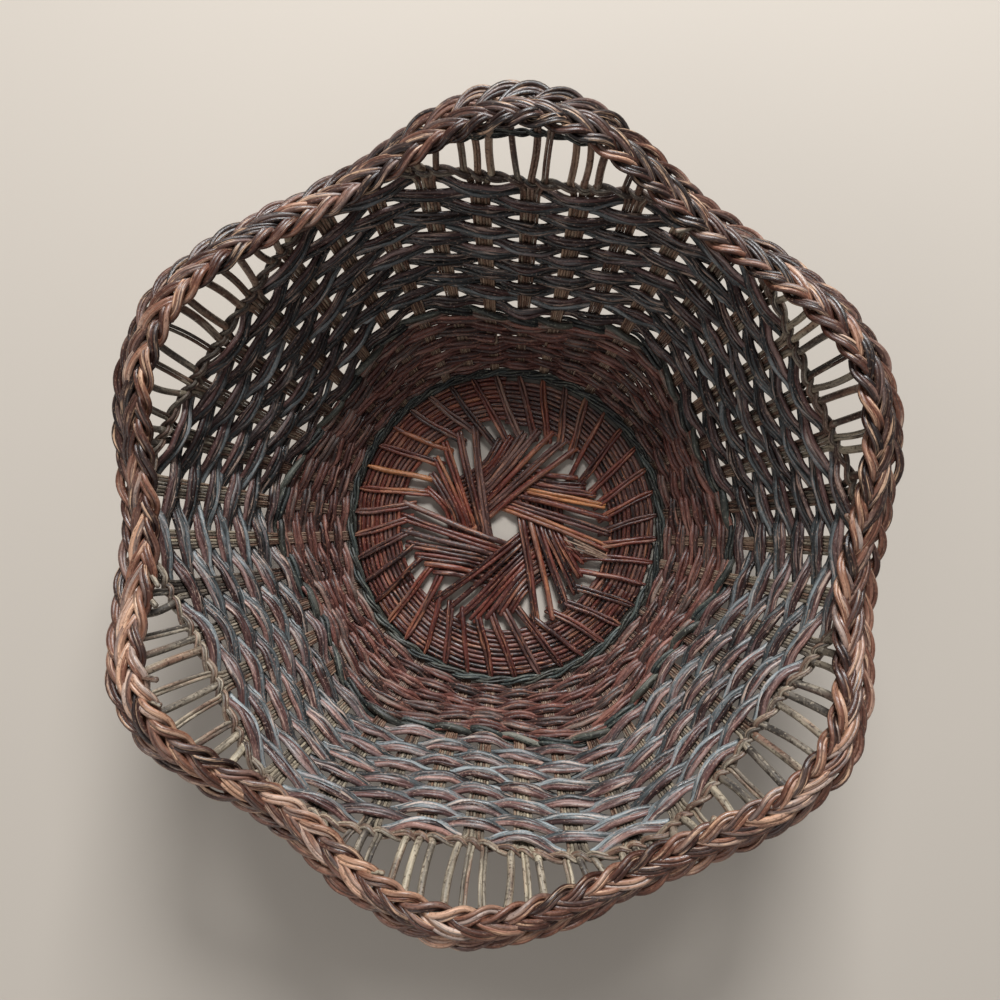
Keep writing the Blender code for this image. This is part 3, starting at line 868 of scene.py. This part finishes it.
# %% [markdown]
# ## Woven rows
#
# Below the waist the weave is fine and close: pairs of rods that pass in front of one stake and
# behind the next. Above it four rods run side by side and do the same, and the gaps beside the
# stakes are large enough to see through. The path is a wave along the body. A plain cosine is too
# round, because the flat side stakes hold the rods out over their whole width, so this wave is
# squared off a little, as at the waist.

# %% Row helper
row_squareness = 0.9


def stake_side(row, turn, squareness=row_squareness):
    """The wave of a row: 1 outside a stake and -1 inside it, one after the other."""
    legs = (turn - first_stake_turn) / stake_pitch
    wave = np.cos(math.pi * legs)
    wave = np.tanh(wave * squareness) / math.tanh(squareness)
    return wave if row % 2 else -wave


def woven_path(row, turn, climb, swing, rise, random, stray=0.0002, squareness=row_squareness):
    """The path of one rod of a row. rise moves it up the wall, stray is how uneven it is."""
    middle, along, up, out = shell_frame(turn, climb)
    wave = stake_side(row, turn, squareness)
    offset = wave * swing + wander(turn, stray, 11, 61, random)
    rise = rise + wander(turn, stray, 11, 61, random)
    return middle + out * offset[:, None] + up * rise[:, None], out


print("wave at the first five stakes:",
      stake_side(0, first_stake_turn + np.arange(5) * stake_pitch).round(2))


# %% [markdown]
# The wall between the base and the waist is higher at the six corners than on the flat sides. A
# maker packs short rows in there. Eight rows go all round, and at each corner two more lie between
# them, from one stake to another.

# %% Fine rows below the waist
low_rows, high_rows, short_rows = 5, 3, 2
# the first row starts this far above the turn-up, the last one ends at this share of the way
fine_row_first, fine_row_reach = 0.0020, 0.935
# the way up from the turn-up to the waist, on a flat side and at a corner
flat_slant, corner_slant = 0.0282, 0.0312
fine_half_gap = 0.00106
fine_radii = (0.00122, 0.00132)
fine_swing, fine_squareness = 0.00145, 1.5
fine_rod_count = 6
fine_tones, fine_tints = (-0.1, 0.9), (-0.2, 0.8)
# these rows get almost no painted light, only a very slight lift on their far side
fine_painted_light = -0.02


def fine_climbs(slant):
    """How far up each row lies, and whether it goes all round, from the base to the waist."""
    corner = smooth((slant - flat_slant) / (corner_slant - flat_slant))
    span = slant * fine_row_reach - fine_row_first
    full = low_rows + high_rows - 1
    pitch = blend(span / full, span / (full + short_rows), corner)
    low = [fine_row_first + row * pitch for row in range(low_rows)]
    high = [slant * fine_row_reach - row * pitch for row in range(high_rows)][::-1]
    step = (high[0] - low[-1]) / (short_rows + 1)
    short = [low[-1] + (row + 1) * step for row in range(short_rows)]
    rows = [(climb, True) for climb in low] + [(climb, False) for climb in short]
    return rows + [(climb, True) for climb in high], corner


def short_row_spans(wave, corner, stations_each):
    """First and last station of each short row, which starts and ends at a stake."""
    ends = np.flatnonzero((np.abs(wave) > 0.97) & (corner > 0.01))
    breaks = np.flatnonzero(np.diff(ends) > stations_each * 3)
    starts, stops = ends[np.append(0, breaks + 1)], ends[np.append(breaks, len(ends) - 1)]
    return [(start, stop) for start, stop in zip(starts, stops) if stop - start > stations_each]


def add_fine_rows():
    random = np.random.default_rng(400)
    stations = stake_count * 8
    turn = ring_turns_of(stations)
    slant = np.linalg.norm(shell_point(turn, 1.0) - shell_point(turn, 0.0), axis=1)
    rows, corner = fine_climbs(slant)
    rods = []
    for row, (level, full) in enumerate(rows):
        wave = stake_side(row, turn, fine_squareness)
        for half in (-1, 1):
            climb = (level + half * fine_half_gap) / slant
            path, out = woven_path(row, turn, climb, fine_swing, 0.0, random,
                                   squareness=fine_squareness)
            radius = (1.0 - 0.06 * (1.0 - wave ** 2)) * (1.0 + wander(turn, 0.10, 5, 23, random))
            radius = radius * blend(*fine_radii, row / (len(rows) - 1))
            if full:
                joins = joins_of(row + 1, fine_rod_count, stations, random)
                rods += pieces_of(path, out, radius, joins, random, fine_tones, fine_tints)
                continue
            for start, stop in short_row_spans(wave, corner, stations / stake_count):
                at = slice(start, stop + 1)
                rods.append(rod(path[at], out[at], radius[at], random.uniform(*fine_tones),
                                random.uniform(*fine_tints)))
    add_piece("fine_weaver_rods", rods, fine_bark, "fine_weaver", fine_painted_light)


add_fine_rows()
print("fine row triangles:", triangle_counts["fine_weaver_rods"])

# %% [markdown]
# Each row of the wall has four rods. They spread side by side over a stake and draw together
# between two, where the lowest one slips under its neighbour. The lower two are mostly slate, the
# upper two mostly red. The last row swings further out, because the stakes part above it.

# %% Wall rows
wall_row_shares = (1.078, 1.912)
wall_row_count = 12
wall_weaver_count = 3
wall_swings, last_row_swing = (0.0021, 0.0025), 0.0034
wall_radii = (0.00108, 0.00126)
wall_rod_count = 5
# the step from rod to rod, between the stakes and at a stake
lane_steps = (0.00180, 0.00228)
# how far the outer, next and middle rods lie off the row where it crosses between two stakes
lane_stack = (0.0003, -0.0003, 0.0003)
slip_across, slip_out = 0.0016, 0.0009
# from the rod nearest the base to the one nearest the rim
band_tones = ((0.0, 1.0), (0.0, 1.0), (-0.1, 0.6), (-0.1, 0.9))
band_tints = ((0.9, 1.4), (0.7, 1.3), (0.0, 1.0), (-0.4, 0.5))
# the first row has three rods, redder and closer
first_row_squeeze, first_row_tints = 0.80, (-0.1, 0.5)


def wall_row(row, turn, climb, random):
    """The rods of one row. Their lanes count from the base towards the rim."""
    first = row == 0
    last = row == wall_row_count - 1
    swing = last_row_swing if last else blend(*wall_swings, row / (wall_row_count - 1))
    drift = wander(turn, 0.0004, 5, 23, random)
    spread = stake_side(row, turn) ** 2
    rods = []
    for lane in (-2, -1, 0) if first else (-2, -1, 0, 1):
        across = lane * (blend(*lane_steps, spread) * (first_row_squeeze if first else 1.0))
        stack = lane_stack[abs(lane)] * (1.0 - spread)
        if lane == -2 and not first:
            across = across + spread * slip_across
            stack = stack + spread * slip_out
        path, out = woven_path(row, turn, climb, swing, across + drift, random, stray=0.0003)
        path = path + out * stack[:, None]
        radius = random.uniform(*wall_radii) * (1.0 + wander(turn, 0.08, 5, 23, random))
        joins = joins_of(row + 1, wall_rod_count, len(turn), random)
        tints = first_row_tints if first else band_tints[lane + 2]
        rods += pieces_of(path, out, radius, joins, random, band_tones[lane + 2], tints)
    return rods


def add_wall_rows():
    rows_each = wall_row_count // wall_weaver_count
    climbs = np.linspace(*wall_row_shares, wall_row_count)
    turn = ring_turns_of(stake_count * 9)
    for weaver in range(wall_weaver_count):
        random = np.random.default_rng(500 + weaver)
        rods = []
        for row in range(weaver * rows_each, (weaver + 1) * rows_each):
            rods += wall_row(row, turn, climbs[row], random)
        name = "wall_weaver_%d" % (weaver + 1)
        add_piece(name + "_rods", rods, row_bark, name)


add_wall_rows()
print("wall row triangles:", triangle_counts["wall_weaver_1_rods"])

# %% [markdown]
# ## Side stakes
#
# A side stake is six thin rods side by side. They start as a narrow bundle over the foot ring,
# spread to a flat ribbon up the wall, and part in three above the last row. There a stick of the
# openwork is a pair of them, or more often one rod that is fat enough to stand alone.

# %% Route of a stake rod
stake_rod_count = 6
stake_half_widths = ((0.0, 1.0, 1.25, 2.0), (0.0023, 0.0028, 0.0037, 0.0046))
stake_fill = 0.51
stake_radii = (0.00046, 0.00080)
# where the ribbon parts, and how far the sticks stand apart at the top of the wall
fork_climb, fork_span = 1.90, 0.13
prong_spread = 0.0058
pair_half_gap = 0.00078
# most sticks are single fat rods, so the second rod of such a pair ends after this many stations
single_stick_share, single_stations = 0.74, 44
single_radii = (0.00138, 0.00172)
# each stick bows sideways, leans, and bows out of the wall by up to this much
stick_leans = np.array([0.0014, 0.0017, 0.0014])
# brown at the foot, grey-green above the waist
stake_tint_stops = ((0.9, 1.3, 2.0), (-0.3, 0.8, 0.9))
foot_stations = 4

pair_random = np.random.default_rng(600)
pair_lean = pair_random.uniform(-1.0, 1.0, (stake_count, 3, 3)) * stick_leans
pair_single = pair_random.random((stake_count, 3)) < single_stick_share


def stake_rod(stake, index, random):
    """Path, face, radius and tint of one of the six rods of a side stake."""
    stake_turn = first_stake_turn + stake * stake_pitch
    climb = np.concatenate([np.linspace(0.02, fork_climb, 40), np.linspace(1.925, 3.02, 24)])
    pair = index // 2 - 1
    half = index % 2 * 2 - 1
    radius = np.hypot(*(shell_point(stake_turn, climb) - basket_middle)[:, :2].T)
    width = np.interp(climb, *stake_half_widths)
    close = (index - 2.5) * width / 3
    # above the wall the pairs part, and the two rods of a pair stay together
    parted = smooth((climb - fork_climb) / fork_span)
    opened = np.clip(climb - 2.0, 0.0, 1.1)
    pair_turn = pair * blend(prong_spread / wall_top_radius, stake_pitch / 3, opened)
    single = pair_single[stake, pair + 1]
    wide_apart = pair_turn * radius + half * (0.0 if single else pair_half_gap)
    aside = blend(close, wide_apart, parted)
    above = np.clip(climb - 2.0, 0.0, 1.0)
    lean = pair_lean[stake, pair + 1]
    aside = aside + np.sin(math.pi * above) * lean[0] + above * lean[1]
    thick = np.clip(width / 3 * stake_fill, *stake_radii)
    thick = thick * random.uniform(0.90, 1.10)
    if single:
        thick = blend(thick, random.uniform(*single_radii), parted)
    if single and half > 0:
        climb, aside, thick, above = (values[:single_stations]
                                      for values in (climb, aside, thick, above))
    middle, along, up, out = shell_frame(np.full(len(climb), stake_turn), climb)
    ripple = np.sin(climb * random.uniform(5.0, 9.0) + random.uniform(0.0, 6.0)) * 0.00022
    depth = ripple + np.sin(math.pi * above) * lean[2] + random.uniform(-0.0001, 0.0001)
    path = middle + along * aside[:, None] + out * depth[:, None]
    # the foot lies flat over the foot ring before it turns up
    lying = np.linspace(base_radius + 0.0022, turn_up_radius - 0.0006, foot_stations)
    lying = place(np.full(foot_stations, stake_turn), lying, stake_level - 0.0006)
    lying = lying + along[0] * aside[0]
    path = np.vstack([lying, path])
    face = np.vstack([np.tile(out[0], (foot_stations, 1)), out])
    thick = np.concatenate([np.full(foot_stations, thick[0]), thick])
    tint = np.interp(np.concatenate([np.zeros(foot_stations), climb]), *stake_tint_stops)
    return path, face, thick, tint


print("single sticks:", int(pair_single.sum()), "of", pair_single.size)


# %% Forty side stakes
# the far stakes get a browner tint, and the last number lifts their tone as painted light
far_brown, far_brown_start, far_painted_light = 0.55, 0.25, 0.9


def add_stakes():
    for stake in range(stake_count):
        random = np.random.default_rng(610 + stake)
        rods = []
        stake_tone = random.uniform(0.15, 0.65)
        # the stakes of the far side are browner, and lighter in tone as painted light against their
        # shade
        away = math.cos(first_stake_turn + stake * stake_pitch)
        brown = far_brown * max(away + far_brown_start, 0.0)
        for index in range(stake_rod_count):
            path, face, thick, tint = stake_rod(stake, index, random)
            # painted light: the far stakes get a higher tone
            tone = stake_tone + random.uniform(-0.35, 0.40) + brown * far_painted_light
            rods.append(rod(path, face, thick, np.clip(tone, -0.2, 1.3),
                            tint - brown + random.uniform(-0.4, 0.4)))
        name = "side_stake_%02d" % (stake + 1)
        add_piece(name + "_rods", rods, stake_bark, name)


add_stakes()
print("stake triangles:", triangle_counts["side_stake_01_rods"])

# %% [markdown]
# ## The two thin twines of the openwork
#
# Above the last row a pair of thin rods is twisted round every stick, so the count of sticks
# passed is not even: three sticks stand close together and then comes a gap. A dark twine does
# the same close under the border.

# %% Twines of the openwork
top_twine_climb, scallop_height = 1.978, 0.0004
# the border's twine comes into view only on the far lobe, where it lies lower
border_twine_climb, far_twine_climb = 2.86, 2.70


def sticks_passed(turn, spread):
    """How many sticks lie before each turn, when a stake's three sticks are a spread apart."""
    marks, counts = [], []
    for stake in range(-1, stake_count + 1):
        for stick in (-1, 0, 1):
            marks.append(first_stake_turn + stake * stake_pitch + stick * spread)
            counts.append(stake * 3 + stick)
    return np.interp(turn, marks, counts)


def twine(passed, turn, climb, out_swing, up_swing, radius, random, tones, tints, lift=0.0,
          out_shift=0.0):
    """Two strands of two rods, twisted round each other with a stick in each twist."""
    middle, along, up, out = shell_frame(turn, climb)
    rods = []
    for strand in range(2):
        phase = full_turn * (passed / 2.0 + strand / 2)
        for half in (-1, 1):
            swing = np.cos(phase) * out_swing + out_shift
            rise = np.sin(phase) * up_swing + half * radius * 0.98 + lift
            rise = rise + wander(turn, 0.00018, 9, 47, random)
            swing = swing + wander(turn, 0.00014, 9, 47, random)
            thick = radius * (1.0 + wander(turn, 0.06, 5, 17, random))
            path = middle + out * swing[:, None] + up * rise[:, None]
            rods.append(rod(path, out, thick, random.uniform(*tones[strand]),
                            random.uniform(*tints[strand]), closed=True))
    return rods


def add_openwork_twines():
    random = np.random.default_rng(700)
    turn = ring_turns_of(stake_count * 24)
    passed = sticks_passed(turn, prong_spread / wall_top_radius)
    legs = (turn - first_stake_turn) / stake_pitch
    scallop = (1.0 - np.cos(full_turn * legs)) * scallop_height - scallop_height / 2
    rods = twine(passed, turn, top_twine_climb, 0.00150, 0.0009, 0.00082, random,
                 ((0.4, 0.8), (0.3, 0.7)), ((0.3, 0.6), (0.2, 0.5)), lift=scallop)
    add_piece("top_twine_rods", rods, stake_bark, "top_twine")
    far = smooth(1.0 - np.abs((turn + math.pi) % full_turn - math.pi) / 0.5)
    climb = blend(border_twine_climb, far_twine_climb, far)
    rods = twine(passed, turn, climb, 0.0013, 0.0006, 0.00062, random,
                 ((0.0, 0.3), (0.0, 0.4)), ((0.3, 0.6), (0.5, 0.8)), out_shift=0.0008)
    add_piece("border_twine_rods", rods, dark_bark, "border_twine")


add_openwork_twines()
print("twine triangles:", triangle_counts["top_twine_rods"], triangle_counts["border_twine_rods"])

# %% [markdown]
# ## The plaited border
#
# The border is a plait of three strands, laid flat on the rim and tipped outwards. Each strand is
# two or three rods side by side. On its outer side a second row of arcs shows: rods that leave
# the plait, bulge over the edge and come back under it.
#
# One long wave for each strand would be too regular, and it hides how a plait is seen: as legs that
# rise from under one edge, cross the face and dive under the next leg. So each leg is a route of
# its own, with a few stops that are softened to a bend, and no two have quite the same place,
# tone or bow.

# %% Frame of the border
plait_repeats = 32
repeat_turn = full_turn / plait_repeats


def border_frame(turn):
    """Middle of the plait, its run, the way out of the basket and the way off its face."""
    def middle_at(some_turn):
        radius, height, wave = border_point(some_turn)
        return place(some_turn, radius, height)

    middle = middle_at(turn)
    along = unit(middle_at(turn + nudge) - middle_at(turn - nudge))
    level = unit(np.cross(np.array([0.0, 0.0, 1.0]), along))
    upright = np.cross(along, level)
    out = level * math.cos(border_tilt) - upright * math.sin(border_tilt)
    face = upright * math.cos(border_tilt) + level * math.sin(border_tilt)
    return middle, along, out, face


print("a repeat of the plait in mm:", round(repeat_turn * rim_lobe_radii.mean() * 1000, 1))


# %% Three strands
# stops of a leg in mm: along the rim, across it from the border's middle, and off its face
inner_leg_stops = np.array([
    (-7.0, -4.6, -2.1), (-4.0, -6.2, -2.1), (-1.5, -7.1, -1.3), (0.8, -7.3, 0.2), (3.6, -6.4, 1.4),
    (7.0, -4.9, 2.1), (10.5, -3.4, 1.4), (13.0, -2.2, -0.6), (16.0, -0.9, -2.6)]) * 0.001
outer_leg_stops = np.array([
    (-6.0, -0.6, -2.8), (-3.5, 0.6, -2.1), (-1.0, 1.2, -0.3), (3.0, 1.2, 1.5), (8.0, 0.1, 2.2),
    (12.5, -1.5, 2.0), (16.5, -3.1, 1.0), (19.0, -4.2, -0.6), (22.0, -5.2, -2.7)]) * 0.001
leg_cuts, leg_step = 2, 0.0014
three_rod_share = 0.3
# a leg has two rods or three thinner ones: how thick and how far apart
plait_radii, lane_girths = (0.00108, 0.00130), (1.0, 0.80)
lane_gaps = (0.00196, 0.00152)


def plait_leg(start_turn, stops):
    """One visible leg of the plait: it rises from under one edge and dives near the middle."""
    route = even(soften(stops, leg_cuts), leg_step)
    rim = np.linalg.norm(border_frame(np.array([start_turn]))[0][0, :2] - basket_middle[:2])
    middle, along, out, face = border_frame(start_turn + route[:, 0] / rim)
    centre = middle + out * route[:, 1:2] + face * route[:, 2:3]
    run = unit(np.gradient(centre, axis=0))
    side = unit(np.cross(face, run))
    return np.linspace(0.0, 1.0, len(route)), centre, side, np.cross(run, side)


def add_plait():
    for strand in range(3):
        random = np.random.default_rng(800 + strand)
        rods = []
        for leg in range(plait_repeats * 2):
            edge = 1 - leg % 2 * 2
            start_turn = (leg / 2 + strand / 3 + random.uniform(-0.02, 0.02)) * repeat_turn
            stops = outer_leg_stops if edge > 0 else inner_leg_stops
            share, centre, side, face = plait_leg(start_turn, stops)
            lanes = 3 if random.random() < three_rod_share else 2
            leg_tone = random.uniform(-0.2, 1.0)
            leg_bow = random.uniform(-0.0005, 0.0005)
            for lane in range(lanes):
                lane_at = lane - (lanes - 1) / 2
                radius = random.uniform(*plait_radii) * lane_girths[lanes - 2]
                slip = random.uniform(-0.0004, 0.0004)
                aside = lane_at * lane_gaps[lanes - 2] + np.sin(math.pi * share) * leg_bow
                aside = aside + slip * share
                rise = random.uniform(-0.0003, 0.0003) + np.sin(share * 5.0 + lane) * 0.0002
                path = centre + side * aside[:, None] + face * rise[:, None]
                tone = leg_tone + random.uniform(-0.25, 0.25)
                rods.append(rod(path, face, radius, tone, random.uniform(-0.3, 0.8)))
        name = "border_strand_%d" % (strand + 1)
        add_piece(name + "_rods", rods, border_bark, name)


add_plait()
print("strand triangles:", triangle_counts["border_strand_1_rods"])

# %% [markdown]
# The arcs are rods that a strand gives off at each crossing. Three to a repeat overlap like
# scales. On the far lobe they stand further out and are more often three rods than two.

# %% Arcs outside the plait
arcs_each_repeat = 3
arc_span_shares = (0.78, 1.00)
arc_bulges, far_arc_bulge = (0.0058, 0.0074), 0.0040
arc_radii = (0.00098, 0.00122)
# the step from rod to rod of an arc, near and on the far lobe
arc_steps = (0.0016, 0.0022)
three_arc_share = 0.35
far_lobe_turn, far_lobe_reach = -0.05, 0.45


def add_arcs():
    random = np.random.default_rng(850)
    rods = []
    share = np.linspace(0.0, 1.0, 15)
    swell = np.sin(math.pi * share) ** 0.9
    for arc in range(plait_repeats * arcs_each_repeat):
        start_turn = (arc / arcs_each_repeat + random.uniform(-0.05, 0.05)) * repeat_turn
        span = random.uniform(*arc_span_shares) * repeat_turn
        away = (start_turn + math.pi) % full_turn - math.pi
        far = smooth(1.0 - abs(away - far_lobe_turn) / far_lobe_reach)
        bulge = random.uniform(*arc_bulges) + far_arc_bulge * far
        lanes = 3 if random.random() < three_arc_share + far else 2
        tone = random.uniform(-0.1, 0.6)
        middle, along, out, face = border_frame(start_turn + share * span)
        for lane in range(lanes):
            lane_at = lane - (lanes - 1) / 2
            inward = (lane_at + (lanes - 2) * 0.5) * blend(*arc_steps, far)
            reach = 0.0006 + swell * (bulge - inward + random.uniform(-0.0004, 0.0004))
            level = 0.0002 - share * 0.0032 + swell * 0.0006 + random.uniform(-0.0003, 0.0003)
            path = middle + out * reach[:, None] + face * level[:, None]
            radius = random.uniform(*arc_radii)
            rods.append(rod(path, face, radius, tone + random.uniform(-0.2, 0.2),
                            random.uniform(-0.1, 0.5)))
    add_piece("outer_arcs", rods, border_bark)


add_arcs()
print("arc triangles:", triangle_counts["outer_arcs"])

# %% [markdown]
# A maker cuts the last rods off inside the border. A few of the cut ends stick out.

# %% Loose ends
# turn in degrees and reach in mm of the cut ends that stick out inside the border
loose_ends = ((245.7, 6.0), (257.8, 4.5), (261.2, 4.0), (242.3, 2.5), (93.3, 3.5), (34.7, 5.5),
              (147.0, 2.5), (201.0, 2.0))
loose_radii = (0.0010, 0.0013)


def add_loose_ends():
    random = np.random.default_rng(870)
    rods = []
    for degrees, reach in loose_ends:
        share = np.linspace(0.0, 1.0, 9)
        turn = math.radians(degrees) - share * random.uniform(0.03, 0.05)
        middle, along, out, face = border_frame(turn)
        across = blend(-0.0045, -0.0072 - reach * 0.001, share)
        level = -0.0006 - share * random.uniform(0.0006, 0.0018) + share ** 2 * 0.0012
        path = middle + out * across[:, None] + face * level[:, None]
        rods.append(rod(path, face, random.uniform(*loose_radii), random.uniform(0.3, 0.9),
                        random.uniform(0.2, 0.8)))
    add_piece("loose_ends", rods, stake_bark)


add_loose_ends()
print("loose ends:", len(loose_ends))

# %% [markdown]
# ## Floor, light and camera
#
# The basket stands on a plain pale floor. Soft daylight comes in at a slant from the far side, so
# the near wall is bright and the far wall is in shade. A weak warm lamp and a pale room fill the
# shadows. The camera looks almost straight down.

# %% Floor
floor_colour = (0.56, 0.505, 0.44, 1.0)
bpy.ops.object.select_all(action="DESELECT")
bpy.ops.mesh.primitive_plane_add(size=6.0, location=(0.0, 0.0, 0.0))
floor = bpy.context.object
floor.name = "floor"
floor_paint = bpy.data.materials.new("floor_paint")
floor_paint.use_nodes = True
floor_shader = floor_paint.node_tree.nodes["Principled BSDF"]
floor_shader.inputs["Base Color"].default_value = floor_colour
floor_shader.inputs["Roughness"].default_value = 0.8
floor.data.materials.append(floor_paint)
print("floor in m:", [round(value, 1) for value in floor.dimensions])


# %% Light
room_colour, room_strength = (0.97, 0.975, 1.0, 1.0), 0.23


def add_lamp(name, spot, aim, size, power, colour):
    """A round lamp at a spot, turned towards its aim."""
    lamp = bpy.data.lights.new(name, "AREA")
    lamp.shape = "DISK"
    lamp.size = size
    lamp.energy = power
    lamp.color = colour
    holder = bpy.data.objects.new(name, lamp)
    bpy.context.scene.collection.objects.link(holder)
    way = np.array(aim, float) - np.array(spot, float)
    level = math.hypot(way[0], way[1])
    holder.location = spot
    holder.rotation_euler = (math.atan2(level, -way[2]), 0.0,
                             math.atan2(way[1], way[0]) - math.pi / 2)


add_lamp("window_light", (0.14, 1.10, 1.04), (0.0, 0.0, 0.05), 0.6, 28.0, (0.975, 0.988, 1.0))
add_lamp("room_light", (-0.8, -0.9, 0.9), (0.0, -0.1, 0.0), 1.2, 4.5, (1.0, 0.97, 0.94))
world = bpy.data.worlds.new("pale_room")
world.use_nodes = True
world.node_tree.nodes["Background"].inputs["Color"].default_value = room_colour
world.node_tree.nodes["Background"].inputs["Strength"].default_value = room_strength
bpy.context.scene.world = world
bpy.context.scene.view_settings.view_transform = "Standard"
print("lamps:", [lamp.name for lamp in bpy.data.lights])

# %% Camera
# from the middle of the basket to the lens, and the small tilts forwards and sideways
camera_offset = np.array([0.00976, -0.02344, 0.50570])
camera_tilt = (0.0716, 0.0249, 0.0)
camera_data = bpy.data.cameras.new("camera")
camera_data.sensor_width = 36.0
camera_data.lens = 36.1
camera = bpy.data.objects.new("camera", camera_data)
bpy.context.scene.collection.objects.link(camera)
camera.location = basket_middle + camera_offset
camera.rotation_mode = "YXZ"
camera.rotation_euler = camera_tilt
bpy.context.scene.camera = camera
print("triangles in all:", sum(triangle_counts.values()))
